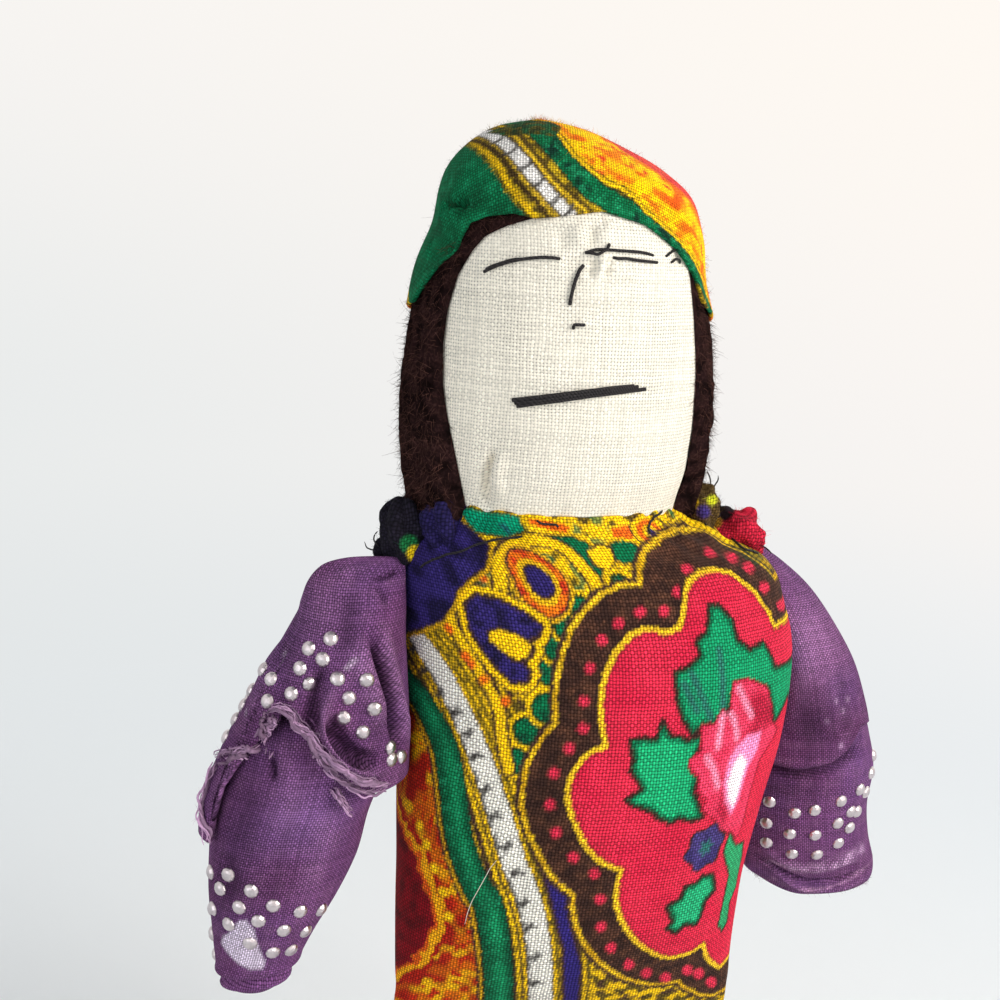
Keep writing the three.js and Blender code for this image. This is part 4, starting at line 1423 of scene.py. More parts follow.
def shape_hair():
    z = HAIR_FORM.rows(HAIR_FOOT, HAIR_TOP, HAIR_ROWS)
    left = hair_edge(HAIR_EDGE_LEFT, z)
    right = hair_edge(HAIR_EDGE_RIGHT, z) - TURN
    u = np.linspace(0, 1, HAIR_COLUMNS)
    u = u - HAIR_EDGE_CROWDING * np.sin(TURN * u)
    theta = right[:, None] + u[None] * (left - right)[:, None]
    outside = HAIR_FORM.point(theta, z[:, None])
    inside = HEAD.point(theta, z[:, None])
    edge = np.cumsum(np.linalg.norm(np.diff(outside, axis=1), axis=2), axis=1)
    edge = np.concatenate([np.zeros((HAIR_ROWS, 1)), edge], 1)
    edge = np.minimum(edge, edge[:, -1:] - edge)
    roll = np.clip(edge / HAIR_EDGE_ROLL, 0, 1)
    foot = np.clip((z - z[0]) / HAIR_FOOT_ROLL, 0, 1)[:, None]
    cover = np.sqrt(1 - (1 - roll) ** 2) * np.sqrt(1 - (1 - foot) ** 2)
    grid = inside + (outside - inside) * cover[..., None]
    cloth = Cloth(HAIR_FORM, grid, closed=False)
    points = grid.reshape(-1, 3)
    tufts = noise(points, 2.6, 31) - 0.5 + 0.6 * (noise(points, 1.1, 32) - 0.5)
    cloth.push(0.5 * tufts * (cover.ravel() > 0.3))
    cloth.lumps(size=11, height=0.4, seed=33)
    clear = keep_out(cloth.grid, HEAD, 0.2)
    cloth.grid = np.where(cloth.grid[..., 2:] < HAIR_UNDER_CAP, clear, cloth.grid)
    return cloth


# The cap

CAP_ROWS = 104
CAP_COLUMNS = 340
CAP_WAIST = 205
CAP_PEAK = 231.2
CAP_OVER_SKIN = 1.0
CAP_OVER_HAIR = 0.9
CAP_SNUG_RISE = 6.5
CAP_CLEARS_HAIR = (212, 219)
CAP_HEM = [
    (412, 300), (421, 285), (433, 268), (447, 254), (456, 243), (461, 232), (468, 221), (484, 214),
    (512, 211), (534, 216), (577, 212.5), (609.6, 210), (655.5, 224), (683, 247), (699, 274.5), (706, 300),
]
CAP_HEM_BACK = [(-5, 201), (30, 198), (60, 195.4), (90, 194.5), (125, 196), (155, 199.5)]
CAP_HEM_ROLL = [(0.18, -0.28), (0.5, -0.34), (0.8, -0.1), (0.95, 0.5), (1.0, 1.6)]
CAP_CENTRE = np.array([HEAD_X, MID_Y + 1, 207])
CAP_RADIUS = 24
CAP_POLE = unit(np.array([-0.1, -0.78, 0.62]))
CAP_FOLDS = [
    ([(440, 208), (454, 205), (472, 204)], 0.8, -1.7),
    ([(438, 219), (455, 216), (476, 214)], 1.0, 0.8),
    ([(470, 160), (455, 190), (448, 222)], 2.0, 0.35),
    ([(496, 152), (520, 180), (540, 206)], 2.2, 0.25),
    ([(428, 246), (440, 250), (458, 242)], 0.9, -1.2),
    ([(640, 180), (664, 200), (690, 232)], 1.6, -0.3),
]


def edge_height(form, pixels, back, theta):
    """Height of a cloth's edge at each angle: by pixels in front, and by angle and height behind."""
    angle, height = form.cast_angle(pixels)
    back = np.array(back)
    knots = np.concatenate([angle % TURN, np.radians(back[:, 0]) % TURN])
    heights = np.concatenate([height, back[:, 1]])
    order = np.argsort(knots)
    return np.interp(theta % TURN, knots[order], heights[order], period=TURN)


def rows_above(form, edge, top, count):
    """Heights of rows spread evenly up a form's side, from the edge's height in each column to the top."""
    low = form.length_up(edge)
    share = np.linspace(0, 1, count)[:, None]
    return np.interp(low + (form.length_up(top) - low) * share, form.rise, form.table[:, 0])


def cap_flat(points):
    """Cloth coordinates on the cap, spread from its front."""
    across = unit(np.cross([0, 0, 1], CAP_POLE))
    upward = np.cross(CAP_POLE, across)
    away = unit_rows(points - CAP_CENTRE)
    turn = np.arccos(np.clip(away @ CAP_POLE, -1, 1))
    x, y = away @ across, away @ upward
    size = np.maximum(np.hypot(x, y), 1e-9)
    return CAP_RADIUS * np.stack([turn * x / size, turn * y / size], -1)


def shape_cap():
    theta = CAP_FORM.columns(CAP_WAIST, CAP_COLUMNS)
    hem = edge_height(CAP_FORM, CAP_HEM, CAP_HEM_BACK, theta)
    z = rows_above(CAP_FORM, hem, CAP_PEAK, CAP_ROWS)
    outside = CAP_FORM.point(theta[None], z)
    snug = HEAD.grown(CAP_OVER_SKIN).point(theta[None], z)
    front = ramp(-np.sin(theta), 0.25, 0.8) * ramp(np.cos(theta), -0.5, -0.2)
    front = front[None] * (1 - ramp(z - hem[None], 0.0, CAP_SNUG_RISE))
    grid = outside + (snug - outside) * front[..., None]
    cloth = Cloth(CAP_FORM, grid)
    cloth.lumps(size=9, height=0.45, seed=41)
    cloth.creases(CAP_FOLDS)
    clear = keep_out(cloth.grid, HAIR_FORM, CAP_OVER_HAIR)
    behind = ramp(np.sin(theta), -0.45, -0.2)[None, :, None]
    below = 1 - ramp(cloth.grid[..., 2:], *CAP_CLEARS_HAIR)
    cloth.grid = cloth.grid + (clear - cloth.grid) * below * behind
    rolled_edge(cloth, CAP_HEM_ROLL, at_end=False)
    cloth.flat = cap_flat(cloth.grid)
    return cloth


CAP_LINE_A = [(482, 148), (490, 156), (500, 168), (509, 185), (521, 200), (534, 216)]
CAP_LINE_B = [(497, 145), (506, 153), (516, 166), (526, 181), (538, 193), (556, 214)]
CAP_WHITE = [(493, 135), (507, 145), (521, 160), (533, 175), (547, 189), (563, 204), (572, 214)]
CAP_LINE_C = [(513, 134), (524, 147), (536, 161), (546, 173), (557, 183), (570, 193), (592, 212)]
CAP_GREEN = [(538, 132), (564, 158), (584, 178), (612, 199), (653, 221), (676, 240)]
CAP_LINE_D = [(556, 132), (577, 156), (605, 178), (632, 191), (655, 213), (690, 250)]
CAP_LINES = [CAP_LINE_A, CAP_LINE_B, CAP_WHITE, CAP_LINE_C, CAP_GREEN, CAP_LINE_D]
CAP_BACK_BAND = 26
CAP_TICKS = [(500, 139), (513, 152), (527, 167), (540, 182), (555, 197), (569, 209)]
CAP_TICK_REACH = (-8, -4.8, -1.6, 1.6, 4.8, 8)
CAP_TOP = [(486, 133), (505, 126), (527, 121), (548, 122), (562, 128), (556, 137), (530, 134), (505, 136)]


def on_cap(pixels):
    return cap_flat(CAP_FORM.cast(pixels))


def cap_line(pixels):
    line = smooth_line(on_cap(pixels))
    start = line[0] + 20 * unit(line[0] - line[6])
    end = line[-1] + 30 * unit(line[-1] - line[-7])
    return np.vstack([start, line, end])


CAP_WIDTH = 28
CAP_BAND_REACH = 60


def paint_flame_field(c, cover):
    c.put(cover, (250, 194, 12))
    c.mottle(cover, (244, 128, 18), 2.2, 91, 0.3, 0.2)
    c.mottle(cover, (226, 60, 34), 1.3, 92, 0.2, 0.2)


def paint_cap_back(c, d):
    """The print runs on behind: a dotted brown band beyond the red, then yellow ground with green spots."""
    band = d - CAP_BACK_BAND + 1.2 * np.sin(c.flat[:, 1] * 0.35)
    c.area(-band, DARK_BROWN)
    c.area(5.4 - band, OLIVE)
    c.mottle(c.cover(5.4 - band), (214, 172, 26), 1.6, 83, 0.6, 0.2)
    c.mottle(c.cover(5.8 - band), LEAF_EDGE, 3.4, 84, 0.3, 0.1)
    dots = np.hypot((c.flat[:, 1] + 60) % 3.6 - 1.8, band - 2.8) - 0.8
    c.area(dots, DOT_RED)
    c.band(band, -0.4, 0.5, YELLOW)
    c.band(band, 4.9, 5.8, YELLOW)


def paint_cap_bands(c, a, b, white):
    c.band(a, -0.75, -0.45, (40, 52, 24))
    c.band(a, -0.45, 0.42, (236, 190, 18))
    c.band(a, -0.1, 0.08, (178, 136, 20))
    c.band(b, -1.5, -0.5, (66, 50, 24))
    c.band(b, -0.5, 0.5, (204, 166, 38))
    c.mottle(0.7 * c.cover(np.abs(b) - 0.5), OLIVE, 0.6, 81, 0.35, 0.3)
    c.band(white, -1.3, 1.25, (86, 76, 58))
    c.band(white, -0.92, 0.9, (228, 224, 220))
    for x, y in CAP_TICKS:
        for reach in CAP_TICK_REACH:
            bar = (x + 0.73 * reach - 0.03 * reach * reach, y - 0.68 * reach - 0.03 * reach * reach)
            c.spot(c.draw([bar])[0], 0.34, (84, 80, 76), 0.1)


def paint_cap_middle(c, line, green):
    c.band(line, -0.5, -0.28, BROWN)
    c.band(line, -0.28, 0.3, (226, 184, 34))
    c.band(line, 0.3, 1.1, (84, 66, 26))
    c.band(green, -1.75, 2.3, (26, 44, 28))
    c.band(green, -1.5, 2.1, (6, 100, 60))
    c.mottle(c.cover(np.abs(green) - 1.5), (8, 48, 36), 1.7, 96, 0.35, 0.2)
    c.mottle(0.7 * c.cover(np.abs(green) - 1.5), (30, 146, 96), 0.7, 97, 0.28, 0.2)


def paint_cap_flames(c, d):
    inside = c.cover(-d)
    paint_flame_field(c, inside)
    c.mottle(0.9 * inside, (252, 206, 6), 3.4, 99, 0.5, 0.12)
    c.mottle(0.85 * inside, (238, 84, 18), 2.6, 100, 0.2, 0.12)
    c.put(0.8 * ridge(d - 1.8, 1.0) * c.patches(1.0, 81, 0.45), (232, 96, 20))
    c.put(0.8 * np.clip((d - 8.2) / 1.4, 0, 1) * c.patches(1.4, 82, 0.4), (240, 104, 20))
    edge = np.clip((d - 10.6) / 1.6, 0, 1) * ramp(c.flat[:, 1], -18, -2)
    c.put(0.9 * edge, (220, 56, 66))


def paint_cap(cloth):
    c = Canvas(cloth.places(), GREEN, on_cap, seed=4)
    c.mottle(0.8, (5, 70, 42), 3.2, 93, 0.4, 0.5)
    c.mottle(0.6, (18, 126, 82), 0.9, 94, 0.3, 0.3)
    lines = [cap_line(pixels) for pixels in CAP_LINES]
    a, b, white, line, green, d = (line_distance(c.flat, line, CAP_BAND_REACH)[0] for line in lines)
    far = a + CAP_WIDTH
    paint_flame_field(c, np.clip(-far - 1.2, 0, 1))
    c.put(np.clip(-far - 6, 0, 1), (222, 60, 96))
    c.band(far, -1.4, -0.5, BROWN)
    c.band(far, -0.5, 0.3, YELLOW)
    stripe = c.cover(-a - 1.0) * c.cover(d - 0.4)
    c.put(stripe, OLIVE)
    c.mottle(stripe, (188, 156, 26), 0.8, 95, 0.5, 0.2)
    paint_cap_bands(c, a, b, white)
    paint_cap_middle(c, line, green)
    paint_cap_flames(c, d)
    paint_cap_back(c, d)
    c.band(d, -0.6, -0.3, (40, 44, 26))
    c.band(d, -0.3, 0.3, YELLOW)
    c.band(d, 0.3, 0.55, OLIVE)
    top = c.outline(CAP_TOP, 4)
    c.area(top, (34, 84, 48))
    c.mottle(c.cover(top), (86, 78, 24), 0.9, 98, 0.5, 0.2)
    c.mottle(0.8 * c.cover(top), (28, 48, 26), 0.7, 89, 0.35, 0.2)
    return c.colour


# Threads of the face

EYE_RIGHT = [(482, 271), (509, 262.5), (541, 257.5), (560, 259.5)]
EYE_RIGHT_END = [(484, 268), (512, 260), (534, 258)]
EYE_LEFT_UPPER = [(587, 252), (600, 250), (624, 251), (655, 255)]
EYE_LEFT_LOWER = [(614, 257.5), (636, 260.5), (659, 263)]
EYE_LEFT_KNOT = [(587, 252), (598, 254), (606, 251), (611, 244.5)]
EYE_LEFT_CORNER = [[(667, 257.5), (672, 252), (678, 250)], [(672, 263), (677, 259), (682, 262)]]
NOSE = [(582.5, 264.6), (576, 283), (568, 305)]
NOSTRIL = [(572, 329.5), (574.5, 325), (585, 325.5)]
MOUTH = [
    [(511, 401.5), (570, 394), (636, 385.5)], [(516, 407), (575, 399), (647, 389)],
    [(514, 404), (572, 396.5), (640, 387.5)],
]
STITCHES = {
    "right_eye": [(EYE_RIGHT, 0.26), (EYE_RIGHT_END, 0.2)],
    "left_eye": [
        (EYE_LEFT_UPPER, 0.25), (EYE_LEFT_LOWER, 0.26), (EYE_LEFT_KNOT, 0.24, 0.3),
        *((line, 0.2) for line in EYE_LEFT_CORNER),
    ],
    "nose": [(NOSE, 0.3), (NOSTRIL, 0.27)],
    "mouth": [(line, 0.34) for line in MOUTH],
}


def face_thread(bundle, head, pixels, radius, lift=0.12):
    line = smooth_line(pixels, steps=10)
    points, normals = head.at_pixels(line)
    share = np.linspace(0, 1, len(line))
    rise = lift + radius * np.minimum(1, np.minimum(share, 1 - share) / 0.08 - 0.6)
    path = smoothed(HEAD.cast(line) * 0.35 + points * 0.65 + normals * rise[:, None], 8)
    bundle.add_tube(even_line(path, 0.25), radius)


def face_stitches(head, thread):
    for name, stitches in STITCHES.items():
        bundle = Bundle()
        for stitch in stitches:
            face_thread(bundle, head, *stitch)
        dress(bundle.build(name), "torso", thread, [f"{name}_stitch"])


# The arms

RIGHT_MOUTH = [
    (209, 841), (213, 826), (218, 806), (224, 788), (227, 770), (231, 757), (244, 750), (262, 745),
    (269, 728), (281, 709), (296, 722), (313, 736), (322, 752), (335, 766), (353, 783), (371, 791),
    (387, 788), (400, 780), (410, 768),
]
RIGHT_MOUTH_BACK = [(20, 122), (60, 119), (90, 116), (130, 114)]
RIGHT_MOUTH_ROLL = [(0.15, -0.25), (0.5, -0.3), (0.9, 0.3), (1.2, 2.0)]
SLEEVE_ROWS = 150
SLEEVE_COLUMNS = 240
RIGHT_SLEEVE_HEIGHTS = (160.6, 125)
RIGHT_SLEEVE_LUMPS = (13, 0.5, 51)
CLEAR_OF_BODY = 0.4


def shape_sleeve(form, edge, back, roll, top, waist, lumps, folds):
    """A sleeve from its mouth's edge up to a top height, with columns spread evenly at the waist."""
    theta = form.columns(waist, SLEEVE_COLUMNS)
    z = rows_above(form, edge_height(form, edge, back, theta), top, SLEEVE_ROWS)
    cloth = Cloth(form, form.point(theta[None], z))
    cloth.lumps(*lumps)
    cloth.creases(folds)
    cloth.grid = keep_out(cloth.grid, BODY, CLEAR_OF_BODY)
    rolled_edge(cloth, roll, at_end=False)
    return cloth


RIGHT_SLEEVE_FOLDS = [
    ([(366, 626), (378, 660), (389, 700), (396, 736), (402, 762)], 0.9, -3.0),
    ([(354, 634), (364, 668), (377, 704), (384, 730)], 1.8, 1.0),
    ([(378, 616), (390, 660), (400, 706), (407, 750)], 1.0, 1.0),
    ([(343, 672), (329, 698), (323, 718), (328, 738), (340, 757), (362, 770), (388, 773)], 1.1, 2.1),
    ([(332, 714), (337, 733), (346, 747), (358, 756), (378, 762)], 0.9, -3.2),
    ([(324, 660), (313, 690), (310, 716), (314, 738)], 1.2, -1.5),
    ([(372, 579), (384, 576), (399, 571)], 0.5, -0.9),
    ([(374, 584), (382, 594), (386, 606)], 0.6, -0.6),
    ([(334, 574), (352, 570), (370, 568)], 0.7, 0.35),
    ([(266, 725), (271, 742), (274, 760)], 0.9, -1.0),
    ([(240, 745), (228, 770), (222, 800)], 1.0, 0.6),
    ([(280, 640), (262, 680), (252, 720)], 3.0, 0.6),
    ([(300, 600), (286, 640), (282, 672)], 2.2, -0.5),
    ([(352, 590), (346, 622), (352, 650)], 2.2, -0.6),
]


def shape_right_sleeve():
    mouth = (RIGHT_MOUTH, RIGHT_MOUTH_BACK, RIGHT_MOUTH_ROLL)
    return shape_sleeve(RIGHT_SLEEVE, *mouth, *RIGHT_SLEEVE_HEIGHTS, RIGHT_SLEEVE_LUMPS, RIGHT_SLEEVE_FOLDS)


FOREARM_WAIST = 105
RIGHT_HEM = 88.6
RIGHT_HEM_SLOPE = 0.16
RIGHT_FOREARM_X = -52.4
RIGHT_FOREARM_SPAN = (84.45, 137.4)
RIGHT_FOREARM_FOLDS = [
    ([(330, 800), (322, 850), (300, 905)], 2.5, 0.5),
    ([(225, 850), (232, 880), (224, 905)], 1.5, -0.5),
    ([(266, 752), (272, 766), (273, 784)], 0.8, -1.5),
    ([(300, 760), (290, 800), (286, 840)], 2.6, 0.5),
    ([(250, 790), (244, 830), (250, 870)], 2.4, -0.4),
]


def shape_right_forearm():
    rows = RIGHT_FOREARM.rows(*RIGHT_FOREARM_SPAN, SLEEVE_ROWS)
    cloth = form_cloth(RIGHT_FOREARM, rows, SLEEVE_COLUMNS, FOREARM_WAIST)
    above = cloth.grid[..., 2] - RIGHT_HEM - RIGHT_HEM_SLOPE * (cloth.grid[..., 0] - RIGHT_FOREARM_X)
    cloth.push(0.5 * ridge(above + 1.4, 0.8) - 1.0 * ridge(above, 0.5) + 0.3 * ridge(above - 1.5, 0.8))
    cloth.lumps(size=11, height=0.4, seed=52)
    cloth.creases(RIGHT_FOREARM_FOLDS)
    return cloth


LEFT_SLEEVE_HEIGHTS = (161.5, 128)
LEFT_SLEEVE_LUMPS = (13, 0.45, 53)
LEFT_FOREARM_SPAN = (88.05, 134.9)
LEFT_HEM_LIFT = 2.4
LEFT_HEM_HEIGHTS = (90, 101)
LEFT_HEM_MIDDLE = 54
LEFT_HEM_WIDTH = 11
LEFT_HEM_EDGE = 90.4
LEFT_MOUTH = [(752, 752), (764, 759), (797, 767), (832, 761), (849, 749), (858, 735), (862, 724)]
LEFT_MOUTH_BACK = [(10, 125), (45, 123), (90, 120), (135, 119), (170, 119)]
LEFT_MOUTH_ROLL = [(0.4, -0.5), (1.1, -0.7), (1.9, -0.4), (2.4, 0.5)]
LEFT_SLEEVE_FOLDS = [
    ([(790, 600), (800, 660), (790, 720)], 2.5, 0.5),
    ([(770, 640), (780, 690), (772, 740)], 2.2, -0.6),
    ([(836, 664), (846, 700), (850, 736)], 2.0, -0.4),
]
LEFT_FOREARM_FOLDS = [
    ([(750, 846), (766, 866), (790, 878), (826, 881), (856, 874), (876, 862)], 0.5, -1.3),
    ([(752, 856), (770, 874), (796, 887), (830, 889), (857, 882), (876, 871)], 0.6, 0.8),
    ([(756, 838), (778, 860), (804, 868), (832, 866), (864, 853)], 0.8, 0.8),
    ([(746, 752), (764, 766), (798, 775), (832, 768), (851, 754), (864, 736)], 0.9, -1.8),
]


def shape_left_sleeve():
    mouth = (LEFT_MOUTH, LEFT_MOUTH_BACK, LEFT_MOUTH_ROLL)
    return shape_sleeve(LEFT_SLEEVE, *mouth, *LEFT_SLEEVE_HEIGHTS, LEFT_SLEEVE_LUMPS, LEFT_SLEEVE_FOLDS)


def shape_left_forearm():
    rows = LEFT_FOREARM.rows(*LEFT_FOREARM_SPAN, SLEEVE_ROWS)
    cloth = form_cloth(LEFT_FOREARM, rows, SLEEVE_COLUMNS, FOREARM_WAIST)
    low = 1 - ramp(cloth.grid[..., 2], *LEFT_HEM_HEIGHTS)
    inner = ramp(LEFT_HEM_MIDDLE - cloth.grid[..., 0], 0, LEFT_HEM_WIDTH)
    cloth.grid[..., 2] += LEFT_HEM_LIFT * inner * low
    cloth.lumps(size=10, height=0.35, seed=54)
    cloth.creases(LEFT_FOREARM_FOLDS)
    cloth.grid = keep_out(cloth.grid, BODY, CLEAR_OF_BODY)
    return cloth


# The legs

LEG_ROWS = 110
LEG_COLUMNS = 130
LEG_WAIST = 36
LEG_GATHER = 68
LEG_ANKLE = 15
LEG_BULGE = 19
LEG_KNEE = 44
LEG_SOLE_SEAM = 1.6


def shape_leg(side):
    form = Form(LEG_STATIONS, MID_X + side * LEG_ASIDE, MID_Y)
    rows = form.rows(LEG_STATIONS[0][0], LEG_STATIONS[-1][0], LEG_ROWS)
    cloth = form_cloth(form, rows, LEG_COLUMNS, LEG_WAIST)
    cloth.lumps(size=9, height=0.35, seed=61 + side)
    s, t = cloth.flat[..., 0], cloth.grid[..., 2]
    cloth.push(0.22 * np.sin(s * 1.7) * ridge(t - LEG_GATHER, 5) - 0.3 * ridge(t - LEG_ANKLE - 0.12 * s, 1.3))
    cloth.push(0.3 * ridge(t - LEG_BULGE - 0.1 * s, 2.0) - 0.25 * ridge(t - LEG_KNEE + 0.1 * s, 1.6))
    quarter = np.abs(s).max(1, keepdims=True) / 2
    cloth.push(-0.35 * ridge(np.abs(s) - quarter, 0.5) - 0.3 * ridge(t - LEG_SOLE_SEAM, 0.5))
    return cloth


# Cloth colours of the arms and legs

SHEER_PATCH = [
    (232, 930), (238, 921), (246, 920), (254, 930), (259, 948), (265, 962), (263, 969), (250, 970),
    (237, 963), (226, 952), (220, 943), (223, 936),
]
WORN_STREAK = [(772, 866), (790, 868), (815, 868), (840, 862), (862, 850)]
HEM_LINE = [(772, 886), (790, 888), (808, 888), (826, 887), (846, 881), (862, 873), (873, 860)]
WORN_SPECKS = [(838, 702), (846, 712), (828, 722), (841, 746), (850, 700)]
GLUE_MARKS = [(282, 652), (284, 655), (241, 708), (245, 712), (351, 664), (347, 668), (354, 660)]


def paint_purple(cloth, seed):
    c = Canvas(cloth.places(), PURPLE, cloth.form.cast_flat, seed=seed)
    c.mottle(0.6, (84, 44, 76), 9, seed, 0.45, 0.7)
    c.mottle(0.5, (100, 68, 118), 8, seed + 1, 0.4, 0.6)
    c.mottle(0.25, (134, 92, 130), 1.6, seed + 2, 0.35, 0.4)
    return c


def paint_right_sleeve(cloth):
    c = paint_purple(cloth, 101)
    c.marks(GLUE_MARKS, 0.6, (190, 170, 190))
    low = cloth.flat[:, :, 1] - cloth.flat[:1, :, 1]
    c.put(0.6 * ridge(low.ravel(), 1.3) * noise(c.flat, 0.8, 102), (176, 128, 172))
    # Painted shade at the sleeve's lower right, a painted highlight at its upper left, and painted shade and
    # highlight along the folds.
    c.glow((385, 690), (3, 8), (72, 38, 62), 0.6)
    c.glow((320, 610), (6, 7), (122, 84, 122), 0.5)
    c.shade_and_highlight_folds(RIGHT_SLEEVE_FOLDS)
    return c.colour


def paint_right_forearm(cloth):
    c = paint_purple(cloth, 103)
    # A painted highlight in the middle of the forearm, painted shade at its left side and low down, and
    # painted shade and highlight along the folds.
    c.glow((302, 820), (7, 7), (116, 84, 136), 0.55)
    c.glow((226, 850), (4, 12), (66, 38, 70), 0.6)
    c.glow((250, 890), (8, 4), (72, 42, 74), 0.4)
    c.shade_and_highlight_folds(RIGHT_FOREARM_FOLDS)
    c.put(0.9 * soft_cover(c.outline(SHEER_PATCH), 0.5), PURPLE_SHEER)
    return c.colour


def paint_left_forearm(cloth):
    c = paint_purple(cloth, 105)
    # Painted shade below the sleeve's crease, and painted shade and highlight along the folds.
    c.glow((790, 790), (7, 3), (70, 40, 72), 0.6)
    c.shade_and_highlight_folds(LEFT_FOREARM_FOLDS)
    streak = 0.75 * ridge(c.line(WORN_STREAK, 6), 1.2)
    c.put(streak * noise(c.flat * [0.5, 1], 0.6, 106), PURPLE_WORN)
    c.put(0.8 * ridge(c.line(HEM_LINE, 4), 0.42) * noise(c.flat, 1.0, 108), (206, 158, 196))
    return c.colour


def paint_left_sleeve(cloth):
    c = paint_purple(cloth, 107)
    c.marks(WORN_SPECKS, 0.6, (196, 160, 196))
    # A painted highlight high on the sleeve, painted shade lower down, and painted shade and highlight along
    # the folds.
    c.glow((814, 640), (6, 9), (150, 104, 148), 0.7)
    c.glow((812, 724), (5, 6), (58, 32, 60), 0.8)
    c.shade_and_highlight_folds(LEFT_SLEEVE_FOLDS)
    return c.colour


# Studs

RIGHT_SLEEVE_STUDS = [
    (333, 636), (307, 646), (320, 661), (297, 669), (260, 668), (269, 678), (338, 676), (369, 682),
    (313, 684), (247, 687), (288, 693), (352, 699), (237, 701), (264, 701), (375, 712), (227, 714),
    (341, 720), (366, 733), (219, 734), (393, 749), (404, 757), (394, 762),
]
RIGHT_FOREARM_STUDS = [
    (226, 877), (208, 872), (217, 889), (249, 893), (210, 908), (236, 908), (276, 908), (302, 914),
    (324, 911), (226, 926), (260, 924), (286, 932), (308, 933), (248, 945), (275, 954), (294, 951),
]
LEFT_FOREARM_STUDS = [
    (767, 804), (792, 815), (816, 813), (842, 804), (863, 791), (874, 773), (876, 754), (868, 794),
    (765, 826), (789, 837), (816, 838), (839, 826), (854, 813), (860, 813), (852, 830), (764, 845),
    (789, 856), (819, 857), (840, 846),
]
# Studs on the far sides: angles, heights of rows, stagger of every second row, and wave of the rows
RIGHT_SLEEVE_BEHIND = (range(28, 160, 17), (123, 127.5, 132, 136.5), 8, 1.5)
RIGHT_FOREARM_BEHIND = (range(25, 175, 24), (91.5, 95.5, 99.5), 12, 1.0)
LEFT_FOREARM_BEHIND = (range(15, 165, 19), (95, 99, 103, 107), 9, 1.0)
# The dome of a stud: shares of its radius across and up
STUD_PROFILE = [(1.0, -0.12), (1.0, 0.06), (0.92, 0.2), (0.7, 0.4), (0.4, 0.53)]
STUD_TOP = 0.56
STUD_SIDES = 10


def add_stud(bundle, point, normal):
    normal = unit(normal)
    side = unit(np.cross(normal, [0.2, 0.3, 0.93]))
    other = np.cross(normal, side)
    turn = np.arange(STUD_SIDES) / STUD_SIDES * TURN + 0.37 * bundle.count
    ring = np.cos(turn)[:, None] * side + np.sin(turn)[:, None] * other
    radius = STUD_DIAMETER / 2
    rows = [point + ring * radius * r + normal * radius * h for r, h in STUD_PROFILE]
    points = np.vstack([*rows, point + normal * radius * STUD_TOP])
    last = np.arange(STUD_SIDES) + (len(rows) - 1) * STUD_SIDES
    bundle.add(points, grid_faces(len(rows), STUD_SIDES, True), fan_faces(last, len(points) - 1))


def studs_behind(cloth, angles, heights, stagger, shift):
    """Places on the far side of a sleeve, in staggered rows."""
    points, normals = [], []
    grid = cloth.grid.reshape(-1, 3)
    all_normals = grid_normals(cloth.grid, True).reshape(-1, 3)
    for row, z in enumerate(heights):
        for angle in angles:
            turn = math.radians(angle + stagger * (row % 2))
            aim = cloth.form.point(turn, z + shift * math.sin(turn * 2))
            k = np.linalg.norm(grid - aim, axis=1).argmin()
            points.append(grid[k])
            normals.append(all_normals[k])
    return points, normals


def add_studs(name, cloth, pixels, behind, body, metal):
    bundle = Bundle()
    points, normals = cloth.at_pixels(pixels)
    more_points, more_normals = studs_behind(cloth, *behind)
    for point, normal in zip([*points, *more_points], [*normals, *more_normals]):
        add_stud(bundle, point, normal)
    dress(bundle.build(name, smooth=False), body, metal)


# Loose fibres

HAIR_FIBRES = 11000
CAP_FIBRES = 4200
HEM_FIBRES = 700
# Lengths and widths of fibres
HAIR_FIBRE = (1.9, 0.08)
CAP_FIBRE = (1.1, 0.05)
HEM_FIBRE = (0.9, 0.05)
LUMP_FIBRE = (1.2, 0.06)
FRAY_FIBRE = (0.8, 0.05)


def fibre_mesh(name, points, normals, length, width, seed, lean, tint):
    """Fine curved fibres that stand on a surface, as narrow ribbons."""
    rng = np.random.default_rng(seed)
    count, segments = len(points), 4
    drift = rng.normal(0, 1, (count, 3)) + np.asarray(lean) * 2
    drift = unit_rows(drift - normals * np.sum(drift * normals, 1, keepdims=True))
    curl = rng.normal(0, 0.7, (count, 3))
    reach = length * rng.uniform(0.4, 1.3, (count, 1))
    rise = rng.uniform(0.1, 1.1, (count, 1)) ** 1.5
    side = np.cross(normals, drift)
    share = np.linspace(0, 1, segments + 1)
    rows = []
    for t in share:
        centre = points + reach * (t * drift + rise * normals * (t - 0.45 * t * t) + 0.3 * curl * t * t)
        half = side * width / 2 * (1 - 0.75 * t)
        rows += [centre - half, centre + half]
    grid = np.stack(rows, 1).reshape(-1, 3)
    step = 2 * (segments + 1)
    base = np.arange(count)[:, None] * step
    faces = [base + 2 * k + np.array([[0, 1, 3, 2]]) for k in range(segments)]
    return make_mesh(name, grid, np.vstack(faces).tolist(), tint=np.repeat(tint, step, axis=0))


def scatter(cloth, count, seed, where=None):
    """Random places on a cloth, with normals, denser where the weights are larger."""
    rng = np.random.default_rng(seed)
    points = cloth.grid.reshape(-1, 3)
    normals = grid_normals(cloth.grid, cloth.closed).reshape(-1, 3)
    weight = None if where is None else where.ravel() / where.sum()
    chosen = rng.choice(len(points), count, p=weight)
    return points[chosen], normals[chosen], chosen


def varied(colour, low, high, count, seed):
    """One tone of a colour for each fibre."""
    return linear(colour) * np.random.default_rng(seed).uniform(low, high, (count, 1))


def at_depth(pixels, point):
    """Points that show at pixels and lie as far from the camera as a point."""
    depth = -(np.asarray(point, float) - EYE) @ BACK
    return EYE + rays(pixels) * depth


